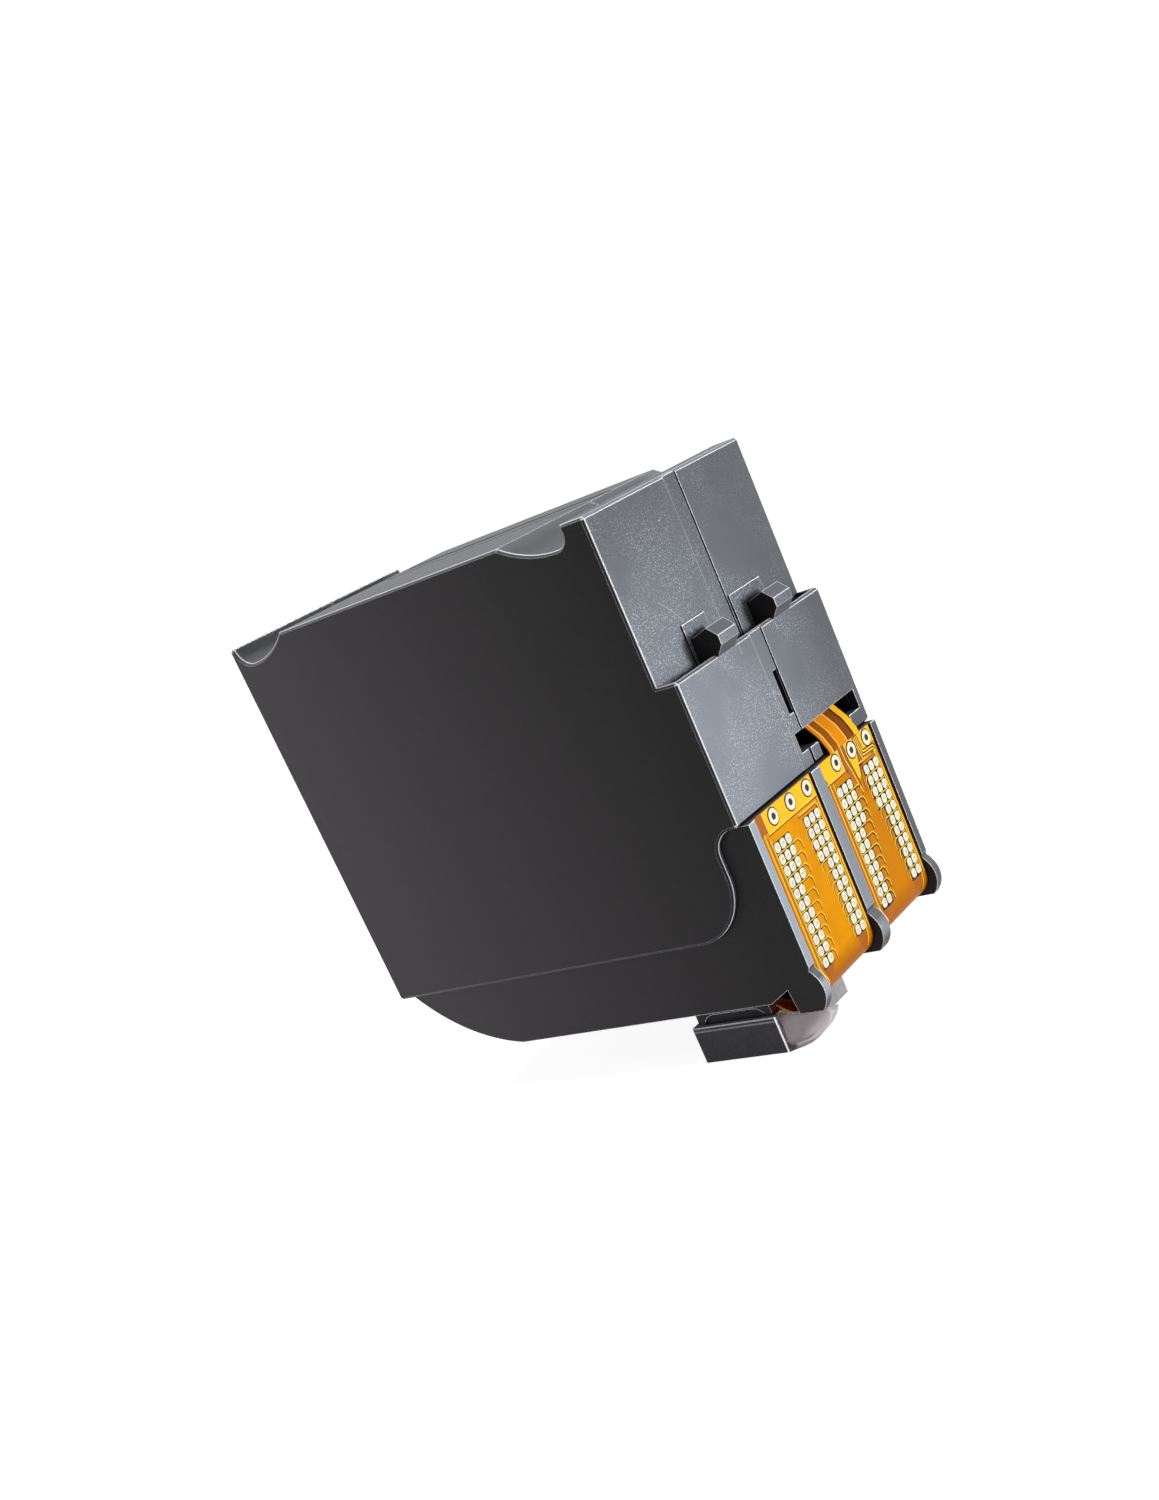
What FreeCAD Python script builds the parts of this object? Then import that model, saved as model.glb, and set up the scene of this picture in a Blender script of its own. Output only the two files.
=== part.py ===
import FreeCAD, Part
import math
import os
import Sketcher
from FreeCAD import Placement, Rotation, Vector

# Twin-head inkjet cartridge.
# X runs across the width, -Y is the front with the contact circuits, +Z is up.
# The origin is the middle of the case's width and depth, on the flat underside.

# Driving sizes in millimetres: alias, value, what it is
SIZE_TABLE = [
    ("width", 44.0, "case, overall width"),
    ("depth", 79.6, "case, front panel to back"),
    ("height", 78.1, "underside to the top of the case"),
    ("caseWall", 1.6, "case, wall thickness"),
    ("partingOffset", 2.8, "parting plane of the two case halves, right of the middle"),
    ("seamWidth", 0.15, "seam groove between the case halves, width"),
    ("seamDepth", 0.3, "seam groove, depth"),
    ("edgeBevel", 0.4, "case, bevel of the outer corners"),
    ("overrun", 1.0, "cuts, run past the surface that they open"),
    ("sink", 0.4, "added features, root inside what carries them"),
    ("stepProud", 3.8, "lower front panel, forward of the upper one"),
    ("ledgeHeight", 51.9, "top of the lower front panel"),
    ("panelBottom", 28.8, "bottom of the lower front panel"),
    ("rimHeight", 11.8, "lower edge of the case's sides"),
    ("frontCorner", 10.0, "case side, radius of the lower front corner"),
    ("neckRound", 4.0, "case side, radius under the lower front panel"),
    ("neckSetback", 1.4, "case side, setback of the lower front edge"),
    ("gripDepth", 3.2, "top grips, depth"),
    ("gripLip", 4.6, "front grip, thickness of the lip in front of it"),
    ("gripFoot", 2.0, "front grip, radius at the foot of the lip"),
    ("gripLength", 12.5, "front grip, lip to the top's flat"),
    ("gripMargin", 1.5, "low ceiling under the grips, reach past their ends"),
    ("backGripLength", 12.8, "back grip, back edge to the top's flat"),
    ("backGripRise", 3.2, "back grip, radius up to the back edge"),
    ("backLip", 1.1, "back grip, thickness of the lip behind it"),
    ("troughWidth", 3.0, "groove behind the lower front panel's top edge"),
    ("troughDepth", 2.2, "groove, depth"),
    ("troughEnd", 1.0, "groove, wall left at its ends"),
    ("lapWidth", 3.4, "lap strip beside the parting line"),
    ("lapStep", 0.2, "lap strip, depth below the panel"),
    ("lapGroove", 0.15, "fine groove along the lap strip, width and depth"),
    ("tongueReach", 1.5, "parting tongue, reach into the other half"),
    ("tongueThick", 0.7, "parting tongue, thickness"),
    ("tongueStart", 4.0, "parting tongue, front end above the ledge"),
    ("tongueFoot", 3.0, "parting tongue, back end above the base's spigot"),
    ("slitWidth", 1.3, "slit beside the parting line"),
    ("slitLowShare", 0.3255, "slit, lower end as a share of the panel above the lap"),
    ("slitHighShare", 0.665, "slit, upper end as a share of the panel above the lap"),
    ("sillShare", 0.0331, "window sill, share of the panel above the lap"),
    ("headShare", 0.184, "window head, share of the panel above the lap"),
    ("windowLap", 2.1, "window, reach left of the parting plane"),
    ("windowEdge", 1.7, "window, distance from the case's right side"),
    ("slotLeftRoom", 0.4, "slot in the sill, room left of the circuit tail"),
    ("slotRightRoom", 0.7, "slot in the sill, room right of the circuit tail"),
    ("blockGap", 0.3, "gap between the parting plane and the block under the window"),
    ("bridgeThick", 1.2, "bridge that carries the block, thickness"),
    ("bridgeSet", 3.2, "bridge, distance behind the lower panel"),
    ("bridgeRise", 1.5, "bridge, height above the window"),
    ("hookWidth", 5.1, "latch lugs, width"),
    ("leftHookX", -10.1, "left latch lug, left side"),
    ("rightHookX", 6.9, "right latch lug, left side"),
    ("hookReach", 5.2, "latch lugs, nose forward of the upper panel"),
    ("hookRidge", 3.6, "latch lugs, ridge forward of the upper panel"),
    ("hookRise", 4.2, "latch lugs, ridge above the ledge"),
    ("hookDip", 1.1, "latch lugs, back of the ramp below the ridge"),
    ("hookNose", 2.7, "latch lugs, nose above the ledge"),
    ("hookBlunt", 1.5, "latch lugs, height of the nose"),
    ("hookSkirt", 0.4, "latch lugs, overlap with the lower panel"),
    ("lugPadProud", 0.3, "pads round the latch lugs, forward of the upper panel"),
    ("lugPadRise", 5.75, "pads round the latch lugs, top above the ledge"),
    ("lugPadSide", 0.7, "pads round the latch lugs, beside the lugs"),
    ("lugPadReach", 3.65, "right pad, reach left of its lug"),
    ("postRadius", 0.7, "board posts, radius"),
    ("postInset", 0.4, "board posts, inside the circuit tail's edges"),
    ("postDrop", 1.4, "board posts, below the board's upper edge"),
    ("stopLength", 2.6, "bag frame stops, reach from the case's ends"),
    ("stopMargin", 1.0, "bag frame stops, longer than the lugs at each end"),
    ("baseInset", 1.0, "base, setback of its sides from the case"),
    ("baseBackInset", 2.5, "base, setback of its back from the case"),
    ("baseWall", 1.8, "base, wall thickness"),
    ("floorThick", 2.0, "base, thickness of its floor"),
    ("noseFloor", 5.6, "base, height of the floor behind the nose"),
    ("notchFloor", 4.4, "base, height of the floor over the notch"),
    ("shoulderRise", 2.0, "base, rise of its inner shoulder at the front"),
    ("seatGap", 0.1, "running clearance between seated pieces"),
    ("spigotGap", 0.2, "base spigot, clearance inside the case"),
    ("spigotWall", 1.4, "base spigot, wall thickness"),
    ("spigotRoot", 4.0, "base spigot, height of its root above the underside"),
    ("spigotRise", 5.0, "base spigot, height inside the case"),
    ("lapRise", 1.7, "base spigot, height behind the lower front panel"),
    ("sweepLength", 20.0, "base, length of the curved back of the underside"),
    ("sweepRound", 33.0, "base, radius of that curve"),
    ("channelFront", 4.6, "circuit channels, forward of the upper panel"),
    ("ribFront", 5.2, "front ribs, forward of the upper panel"),
    ("ribRoot", 1.1, "front ribs, root behind the channels' face"),
    ("ribFoot", 7.0, "front ribs, height of the root above the notch"),
    ("sideRib", 1.7, "outer front ribs, thickness"),
    ("midRib", 2.6, "middle front rib, thickness"),
    ("noseRound", 3.4, "nose under the circuits, radius"),
    ("noseDrop", 1.6, "nose, depth below the underside"),
    ("cheekDrop", 2.3, "rib toes, depth below the underside"),
    ("cheekTop", 4.4, "rib toes, height where they swell"),
    ("cheekStep", 0.3, "rib toes, step at the top of the swell"),
    ("cheekRound", 4.4, "rib toes, radius of the swell"),
    ("toeBack", 0.3, "rib toes, back end in front of the upper panel"),
    ("notchApex", 1.9, "notch behind the toes, height"),
    ("notchLean", 0.5, "notch, lean of its front side"),
    ("notchLength", 4.1, "notch, back end behind the upper panel"),
    ("snoutFront", 6.1, "left snout, behind the upper panel"),
    ("headStagger", 12.7, "right snout, further back than the left one"),
    ("snoutLength", 14.6, "snouts, length"),
    ("snoutDrop", 7.1, "snouts, depth below the underside"),
    ("snoutRound", 1.0, "snouts, radius of the lower front edge"),
    ("recessDeep", 0.3, "recess in the snouts' outer side, depth"),
    ("recessEdge", 1.0, "recess, distance from the snout's edges"),
    ("recessRound", 2.4, "recess, corner radius"),
    ("pipeSide", 9.0, "standpipes, side"),
    ("pipeTop", 19.8, "standpipes, top"),
    ("pipeBore", 1.6, "standpipes, radius of the ink way"),
    ("filterThick", 0.3, "ink filters, thickness"),
    ("filterInset", 0.5, "ink filters, inside the standpipe's sides"),
    ("flexThick", 0.2, "flexible circuits, thickness"),
    ("flexSideGap", 0.25, "flexible circuits, gap to the ribs"),
    ("tailLeftInset", 4.45, "circuit tail, inside the circuit's left edge"),
    ("tailRightInset", 3.25, "circuit tail, inside the circuit's right edge"),
    ("tailInside", 2.1, "circuit tail inside the case, forward of the upper panel"),
    ("tailSlack", 0.5, "circuit tail, bow in front of the straight way"),
    ("tailBend", 1.2, "circuit tail, radius of its end bends"),
    ("tailDipShare", 0.15, "circuit tail, upper bend under the window head, share of the window"),
    ("tailBow", 3.0, "circuit tail, radius of its middle bend"),
    ("tailShare", 0.88, "circuit tail, length on the board as a share of the room under the posts"),
    ("padWidth", 1.4, "contact pads, width"),
    ("padTall", 1.5, "contact pads, height"),
    ("padThick", 0.1, "contact pads, thickness"),
    ("padPitch", 1.7, "contact pads, pitch across"),
    ("rowPitch", 1.94, "contact pads, pitch of the rows"),
    ("topRow", 22.8, "contact pads, height of the top row"),
    ("padLeftMargin", 2.15, "contact pads, from the circuit's left edge"),
    ("padRightMargin", 1.15, "contact pads, from the circuit's right edge"),
    ("ringHeight", 27.1, "test rings, height"),
    ("ringLeftMargin", 4.9, "test rings, first centre from the circuit's left edge"),
    ("ringRightMargin", 1.9, "test rings, last centre from the circuit's right edge"),
    ("ringOuter", 1.25, "test rings, outer radius"),
    ("ringInner", 0.55, "test rings, inner radius"),
    ("dieWidth", 5.0, "printhead die, width"),
    ("dieLength", 12.9, "printhead die, length"),
    ("dieThick", 0.6, "printhead die, thickness"),
    ("plateWidth", 6.4, "nozzle plate, width"),
    ("plateLength", 13.1, "nozzle plate, length"),
    ("plateThick", 0.15, "nozzle plate, thickness"),
    ("beadWidth", 0.6, "encapsulant beads, width"),
    ("beadThick", 0.35, "encapsulant beads, height"),
    ("capWall", 0.8, "nozzle caps, wall thickness"),
    ("capRim", 2.5, "nozzle caps, rim below the underside"),
    ("sealThick", 0.5, "cap seals, thickness"),
    ("sealInset", 0.3, "cap seals, distance from the nozzle plate's edges"),
    ("tabReach", 10.2, "pull tab, reach from the cap's tray"),
    ("tabThick", 0.9, "pull tab, thickness of its web"),
    ("tabEdge", 2.6, "pull tab, width of its rim"),
    ("tabBand", 1.2, "pull tab, breadth of its rim seen from the side"),
    ("tabLip", 0.6, "pull tab, height of its tip"),
    ("tabFoot", 2.6, "pull tab, foot in front of the tray"),
    ("tabCurve", 11.0, "pull tab, radius of its outer curve"),
    ("tabJoin", 0.2, "pull tab, root inside the tray's wall"),
    ("frameThick", 8.0, "bag frame, thickness"),
    ("frameWall", 3.4, "bag frame, width of its wall"),
    ("frameInset", 5.0, "bag frame, distance from the case's ends"),
    ("frameRound", 6.0, "bag frame, corner radius"),
    ("bagRoof", 1.0, "bag frame, distance from the case's ceiling"),
    ("lugBottom", 55.0, "bag frame, lower side of its end lugs"),
    ("lugTall", 6.0, "bag frame, height of its end lugs"),
    ("lugRight", 1.0, "bag frame, right side of its end lugs"),
    ("flangeInset", 0.4, "ink bag films, flange inside the frame's outline"),
    ("flangeWidth", 1.8, "ink bag films, width of the flange on the frame"),
    ("manifoldTall", 5.0, "ink manifold, height"),
    ("bagBulge", 12.6, "ink bag films, bulge from the frame"),
    ("filmThick", 0.3, "ink bag films, thickness"),
    ("filmDraft", 7.0, "ink bag films, slope of their sides"),
    ("filmCorner", 5.0, "ink bag films, cut of their corners"),
    ("bagPlateThick", 0.5, "bag plates, thickness"),
    ("bagPlateInset", 6.0, "bag plates, ends inside the flat of the films"),
    ("bagPlateRise", 4.0, "bag plates, long sides inside the flat of the films"),
    ("bagPlateRound", 3.0, "bag plates, corner radius"),
    ("springThick", 0.4, "bow spring, thickness"),
    ("springTall", 12.0, "bow spring, height"),
    ("springInset", 1.8, "bow spring, ends inside the bag plates' ends"),
    ("portRadius", 2.0, "fill port, radius"),
    ("boardThick", 0.8, "circuit board, thickness"),
    ("boardSide", 1.0, "circuit board, wider than the circuit tail at each side"),
    ("boardLowGap", 2.0, "circuit board, above the window"),
    ("boardTopGap", 1.9, "circuit board, below the groove's floor"),
    ("chipShare", 0.48, "chip on the board, side as a share of the board's height"),
    ("chipThick", 1.0, "chip on the board, thickness"),
]
PAD_ROWS = 11
WIDE_ROWS = 4
WIDE_COUNT = 3
NARROW_COUNT = 2
TOUCH = 0.001


class Size:
    """A number with the expression that ties it to the sheet."""

    def __init__(self, value, text):
        self.value = value
        self.text = text

    def _join(self, other, sign, result):
        return Size(result, "(%s %s %s)" % (self.text, sign, other.text))

    def __add__(self, other):
        other = as_size(other)
        return self._join(other, "+", self.value + other.value)

    def __radd__(self, other):
        return as_size(other) + self

    def __sub__(self, other):
        other = as_size(other)
        return self._join(other, "-", self.value - other.value)

    def __rsub__(self, other):
        return as_size(other) - self

    def __mul__(self, other):
        other = as_size(other)
        return self._join(other, "*", self.value * other.value)

    def __rmul__(self, other):
        return as_size(other) * self

    def __truediv__(self, other):
        other = as_size(other)
        return self._join(other, "/", self.value / other.value)

    def __neg__(self):
        return Size(-self.value, "(0 - %s)" % self.text)


def as_size(thing):
    if isinstance(thing, Size):
        return thing
    return Size(float(thing), "%.6g" % thing)


doc = FreeCAD.newDocument("InkCartridge")
sheet = doc.addObject("Spreadsheet::Sheet", "Sizes")


class Sizes:
    """The cells of the sheet, by alias."""


size = Sizes()
for row, (alias, value, note) in enumerate(SIZE_TABLE, start=1):
    sheet.set("A%d" % row, note)
    sheet.set("B%d" % row, "%g" % value)
    sheet.setAlias("B%d" % row, alias)
    setattr(size, alias, Size(value, "Sizes.%s" % alias))
doc.recompute()

# Places that follow from the driving sizes
half_width = size.width / 2
front = -size.depth / 2
back = size.depth / 2
panel_front = front - size.stepProud
trough_floor = size.ledgeHeight - size.troughDepth
under_trough = trough_floor - size.caseWall
grip_floor = size.height - size.gripDepth
inner_top = grip_floor - size.caseWall
lap_top = size.panelBottom + size.lapRise
above_lap = lap_top + size.spigotGap
panel_tall = size.ledgeHeight - above_lap
window_sill = above_lap + panel_tall * size.sillShare
window_head = above_lap + panel_tall * size.headShare
base_half = half_width - size.baseInset
base_back = back - size.baseBackInset
spigot_half = half_width - size.caseWall - size.spigotGap
channel = front - size.channelFront
rib_face = front - size.ribFront
head_middle = (base_half - size.sideRib + size.midRib / 2) / 2
head_width = base_half - size.sideRib - size.midRib / 2
film_half = head_width / 2 - size.flexSideGap
tail_left = head_middle - film_half + size.tailLeftInset
tail_right = head_middle + film_half - size.tailRightInset
tail_face = front - size.tailInside + size.flexThick
slot_left = tail_left - size.slotLeftRoom
slot_right = tail_right + size.slotRightRoom
board_low = window_head + size.boardLowGap
board_top = under_trough - size.boardTopGap
cap_gap = size.seatGap + size.flexThick
snout_bottom = -size.snoutDrop
plate_bottom = snout_bottom - size.flexThick - size.plateThick
cap_floor = plate_bottom - size.sealThick
cap_bottom = cap_floor - size.capWall
manifold_bottom = size.pipeTop + size.filterThick
frame_bottom = manifold_bottom + size.manifoldTall
frame_top = inner_top - size.bagRoof
frame_front = front + size.frameInset
frame_back = back - size.frameInset
film_flat = size.frameThick / 2 + size.bagBulge
plate_face = film_flat - size.filmThick - size.seatGap
plate_inset = size.frameInset + size.filmDraft + size.bagPlateInset


# Tools for sketches and features
def new_body(label):
    body = doc.addObject("PartDesign::Body", label)
    body.Label = label
    return body


def new_sketch(body, name, plane, offset):
    sketch = body.newObject("Sketcher::SketchObject", name)
    support = [item for item in body.Origin.OriginFeatures if item.Role == plane]
    sketch.AttachmentSupport = [(support[0], "")]
    sketch.MapMode = "FlatFace"
    offset = as_size(offset)
    sketch.AttachmentOffset = Placement(Vector(0, 0, offset.value), Rotation())
    sketch.setExpression(".AttachmentOffset.Base.z", offset.text)
    return sketch


def arc_centre(start, end, radius, side):
    """Centre of the short arc from start to end; side 1 puts it left of the chord, -1 right."""
    chord = end - start
    half = chord.Length / 2
    rise = math.sqrt(max(radius * radius - half * half, 0.0))
    left = Vector(-chord.y, chord.x, 0)
    left.normalize()
    return (start + end) / 2 + left * (rise * side)


def tie(sketch, kind, geometry, end, place):
    """Ties one coordinate of a point to the sheet, measured from the origin."""
    place = as_size(place)
    number = sketch.addConstraint(Sketcher.Constraint(kind, -1, 1, geometry, end, place.value))
    sketch.setExpression("Constraints[%d]" % number, place.text)


def outline(body, name, plane, offset, path):
    """A closed outline. Each corner is (across, up), and (across, up, radius, side) ends an arc."""
    sketch = new_sketch(body, name, plane, offset)
    corners = [(as_size(step[0]), as_size(step[1])) for step in path]
    ends = []
    for index in range(len(path)):
        step = path[(index + 1) % len(path)]
        here = corners[index]
        there = corners[(index + 1) % len(path)]
        start = Vector(here[0].value, here[1].value, 0)
        end = Vector(there[0].value, there[1].value, 0)
        if len(step) == 2:
            number = sketch.addGeometry(Part.LineSegment(start, end), False)
            ends.append((number, 1, 2))
        else:
            radius = as_size(step[2])
            centre = arc_centre(start, end, radius.value, step[3])
            first = start - centre
            last = end - centre
            from_angle = math.atan2(first.y, first.x)
            to_angle = math.atan2(last.y, last.x)
            circle = Part.Circle(centre, Vector(0, 0, 1), radius.value)
            if step[3] > 0:
                number = sketch.addGeometry(Part.ArcOfCircle(circle, from_angle, to_angle), False)
                ends.append((number, 1, 2))
            else:
                number = sketch.addGeometry(Part.ArcOfCircle(circle, to_angle, from_angle), False)
                ends.append((number, 2, 1))
            rule = sketch.addConstraint(Sketcher.Constraint("Radius", number, radius.value))
            sketch.setExpression("Constraints[%d]" % rule, radius.text)
    for index, (number, start_end, far_end) in enumerate(ends):
        following = ends[(index + 1) % len(ends)]
        sketch.addConstraint(Sketcher.Constraint("Coincident", number, far_end, following[0], following[1]))
        tie(sketch, "DistanceX", number, start_end, corners[index][0])
        tie(sketch, "DistanceY", number, start_end, corners[index][1])
    return sketch


def disc(body, name, plane, offset, centre, radius):
    """A circle about centre (across, up)."""
    sketch = new_sketch(body, name, plane, offset)
    across = as_size(centre[0])
    up = as_size(centre[1])
    radius = as_size(radius)
    middle = Vector(across.value, up.value, 0)
    number = sketch.addGeometry(Part.Circle(middle, Vector(0, 0, 1), radius.value), False)
    rule = sketch.addConstraint(Sketcher.Constraint("Radius", number, radius.value))
    sketch.setExpression("Constraints[%d]" % rule, radius.text)
    tie(sketch, "DistanceX", number, 3, across)
    tie(sketch, "DistanceY", number, 3, up)
    return sketch


def pad(body, name, sketch, length):
    """Adds a prism from the sketch along its plane's normal."""
    length = as_size(length)
    feature = body.newObject("PartDesign::Pad", name)
    feature.Profile = sketch
    feature.Length = length.value
    feature.setExpression("Length", length.text)
    return feature


cuts = []


def pocket(body, name, sketch, length):
    """Cuts a prism from the sketch along its plane's normal."""
    length = as_size(length)
    feature = body.newObject("PartDesign::Pocket", name)
    feature.Profile = sketch
    feature.Length = length.value
    feature.setExpression("Length", length.text)
    feature.Reversed = True
    cuts.append(feature)
    return feature


def rectangle(left, bottom, right, top):
    return [(left, bottom), (right, bottom), (right, top), (left, top)]


def rounded(left, bottom, right, top, radius):
    """A rectangle with four round corners, run anticlockwise; its first corner closes the last arc."""
    return [
        (left + radius, bottom, radius, 1),
        (right - radius, bottom),
        (right, bottom + radius, radius, 1),
        (right, top - radius),
        (right - radius, top, radius, 1),
        (left + radius, top),
        (left, top - radius, radius, 1),
        (left, bottom + radius),
    ]


def clipped(left, bottom, right, top, corner):
    """A rectangle with its four corners cut straight, run anticlockwise."""
    return [step[:2] for step in rounded(left, bottom, right, top, corner)]


def plain_box(label, low, high):
    """A plain box between two corners, tied to the sheet."""
    box = doc.addObject("Part::Box", label)
    box.Label = label
    low = [as_size(item) for item in low]
    high = [as_size(item) for item in high]
    spans = [top - bottom for bottom, top in zip(low, high)]
    for key, span in zip(("Length", "Width", "Height"), spans):
        setattr(box, key, span.value)
        box.setExpression(key, span.text)
    box.Placement = Placement(Vector(*[item.value for item in low]), Rotation())
    for key, item in zip(("x", "y", "z"), low):
        box.setExpression("Placement.Base.%s" % key, item.text)
    return box


def group(label, members):
    """Like solids of one kind, kept apart in one piece."""
    compound = doc.addObject("Part::Compound", label)
    compound.Label = label
    compound.Links = members
    return compound


def edges_where(feature, test):
    """Names of the edges whose every sample point passes the test."""
    names = []
    for number, edge in enumerate(feature.Shape.Edges, start=1):
        samples = [edge.valueAt(edge.FirstParameter + share * (edge.LastParameter - edge.FirstParameter))
                   for share in (0.0, 0.5, 1.0)]
        if all(test(point) for point in samples):
            names.append("Edge%d" % number)
    return names


def bevel_edges(body, name, feature, test, breadth):
    """Bevels the edges of a feature that pass the test."""
    doc.recompute()
    bevel = body.newObject("PartDesign::Chamfer", name)
    bevel.Base = (feature, edges_where(feature, test))
    bevel.Size = breadth.value
    bevel.setExpression("Size", breadth.text)
    return bevel


# Case halves
def level_arc(run):
    """Radius of a grip's long arc that starts level and rises the grip's depth over the run."""
    return (run * run + size.gripDepth * size.gripDepth) / (2 * size.gripDepth)


def ceiling(drop):
    """Inside of the top from back to front: under the back grip, the flat and the front grip."""
    low = inner_top - drop
    high = size.height - size.caseWall - drop
    return [
        (back - size.backLip - size.backGripRise - size.gripMargin, low),
        (back - size.backGripLength - size.gripMargin, high),
        (front + size.gripLip + size.gripLength + size.gripMargin, high),
        (front + size.gripLip + size.gripFoot + size.gripMargin, low),
    ]


def case_outline(inset):
    """Side view of the case: grips in the top, stepped front, and the curve over the base's nose."""
    neck = front + size.neckSetback
    grip_run = size.gripLength - size.gripFoot
    back_run = size.backGripLength - size.backLip - size.backGripRise
    grip_front = front + size.gripLip
    grip_back = back - size.backLip
    top = size.height - inset
    floor = grip_floor - inset
    rim = size.rimHeight + inset
    return [
        (front + inset, size.ledgeHeight - inset),
        (panel_front + inset, size.ledgeHeight - inset),
        (panel_front + inset, size.panelBottom + inset),
        (neck - size.neckRound, size.panelBottom + inset),
        (neck + inset, size.panelBottom - size.neckRound, size.neckRound + inset, -1),
        (neck + inset, size.rimHeight + size.frontCorner),
        (neck + size.frontCorner, rim, size.frontCorner - inset, 1),
        (back - inset, rim),
        (back - inset, top),
        (grip_back + inset, top),
        (grip_back - size.backGripRise, floor, size.backGripRise + inset, -1),
        (back - size.backGripLength, top, level_arc(back_run), -1),
        (grip_front + size.gripLength, top),
        (grip_front + size.gripFoot, floor, level_arc(grip_run), -1),
        (grip_front - inset, grip_floor + size.gripFoot, size.gripFoot + inset, -1),
        (grip_front - inset, top),
        (front + inset, top),
    ]


def case_inside():
    """Side view of the space in the case, open below."""
    wall = size.caseWall
    return [
        (front + wall, under_trough),
        (panel_front + wall, under_trough),
        (panel_front + wall, size.rimHeight - size.overrun),
        (back - wall, size.rimHeight - size.overrun),
        (back - wall, inner_top),
    ] + ceiling(0) + [(front + wall, inner_top)]


def hook_outline():
    """Side view of a latch lug: a ramp up to a ridge, and a nose over the lower panel."""
    ramp_back = size.ledgeHeight + size.hookRise - size.hookDip
    nose = front - size.hookReach
    nose_top = size.ledgeHeight + size.hookNose
    root = trough_floor - size.sink
    skirt = size.ledgeHeight - size.hookSkirt
    return [
        (front + size.sink, root),
        (front + size.sink, ramp_back),
        (front, ramp_back),
        (front - size.hookRidge, size.ledgeHeight + size.hookRise),
        (nose, nose_top),
        (nose, nose_top - size.hookBlunt),
        (panel_front, skirt),
        (panel_front + size.sink, skirt),
        (panel_front + size.sink, root),
    ]


def outer_bevel(body, feature, plane_x):
    """Bevels the rim of the outer side face and the long corners of the front, top and back."""
    corners = [
        (front, size.height), (back, size.height), (back, size.rimHeight),
        (panel_front, size.ledgeHeight), (panel_front, size.panelBottom),
    ]

    def on_corner(point):
        if abs(point.x - plane_x.value) < TOUCH:
            return True
        return any(abs(point.y - across.value) < TOUCH and abs(point.z - up.value) < TOUCH
                   for across, up in corners)
    return bevel_edges(body, "outer_bevel", feature, on_corner, size.edgeBevel)


def front_cut(body, name, start, depth_of_cut, path):
    """Cuts into the front from the plane y = start, towards the back."""
    sketch = outline(body, name + "_view", "XZ_Plane", -start, path)
    feature = pocket(body, name, sketch, depth_of_cut)
    feature.Reversed = False
    return feature


def through_panel(body, name, left, bottom, right, top):
    """Cuts a rectangle right through the lower front panel."""
    path = rectangle(left, bottom, right, top)
    return front_cut(body, name, panel_front - size.overrun, size.caseWall + size.overrun * 2, path)


def latch_lug(body, left, pad_left):
    """A latch lug and the raised pad round its root."""
    pad_right = left + size.hookWidth + size.lugPadSide
    path = rectangle(pad_left, trough_floor, pad_right, size.ledgeHeight + size.lugPadRise)
    plate = outline(body, "lug_pad_view", "XZ_Plane", -(front + size.sink), path)
    pad(body, "lug_pad", plate, size.sink + size.lugPadProud)
    pad(body, "hook", outline(body, "hook_view", "YZ_Plane", left, hook_outline()), size.hookWidth)


def case_half(label, side):
    """One half of the case: side is -1 for the left one and 1 for the right one."""
    body = new_body(label)
    left = -half_width if side < 0 else size.partingOffset + size.seamWidth
    right = size.partingOffset if side < 0 else half_width
    shell = pad(body, "shell", outline(body, "side_view", "YZ_Plane", left, case_outline(0)), right - left)
    outer_bevel(body, shell, left if side < 0 else right)
    if side > 0:
        land = outline(body, "land_view", "YZ_Plane", size.partingOffset, case_outline(size.seamDepth))
        pad(body, "land", land, size.seamWidth)
        left = size.partingOffset
    hollow_left = left + size.caseWall if side < 0 else left - size.overrun
    hollow_right = right + size.overrun if side < 0 else right - size.caseWall
    hollow = outline(body, "hollow_view", "YZ_Plane", hollow_left, case_inside())
    pocket(body, "hollow", hollow, hollow_right - hollow_left)
    trough = rectangle(front - size.troughWidth, trough_floor, front, size.ledgeHeight + size.overrun)
    trough_left = left + size.troughEnd if side < 0 else left
    trough_right = right if side < 0 else right - size.troughEnd
    trough_view = outline(body, "trough_view", "YZ_Plane", trough_left, trough)
    pocket(body, "trough", trough_view, trough_right - trough_left)
    if side < 0:
        latch_lug(body, size.leftHookX, size.leftHookX - size.lugPadSide)
    else:
        latch_lug(body, size.rightHookX, size.rightHookX - size.lugPadReach)
    return body


def lap_strip(body, name, face, bottom, top):
    """The low strip beside the parting plane on one panel, with the fine groove along it."""
    left = size.partingOffset - size.lapWidth
    strip_path = rectangle(left, bottom, size.partingOffset + size.overrun, top)
    front_cut(body, name, face, size.lapStep, strip_path)
    groove = rectangle(left, bottom, left + size.lapGroove, top)
    front_cut(body, name + "_groove", face, size.lapStep + size.lapGroove, groove)


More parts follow.
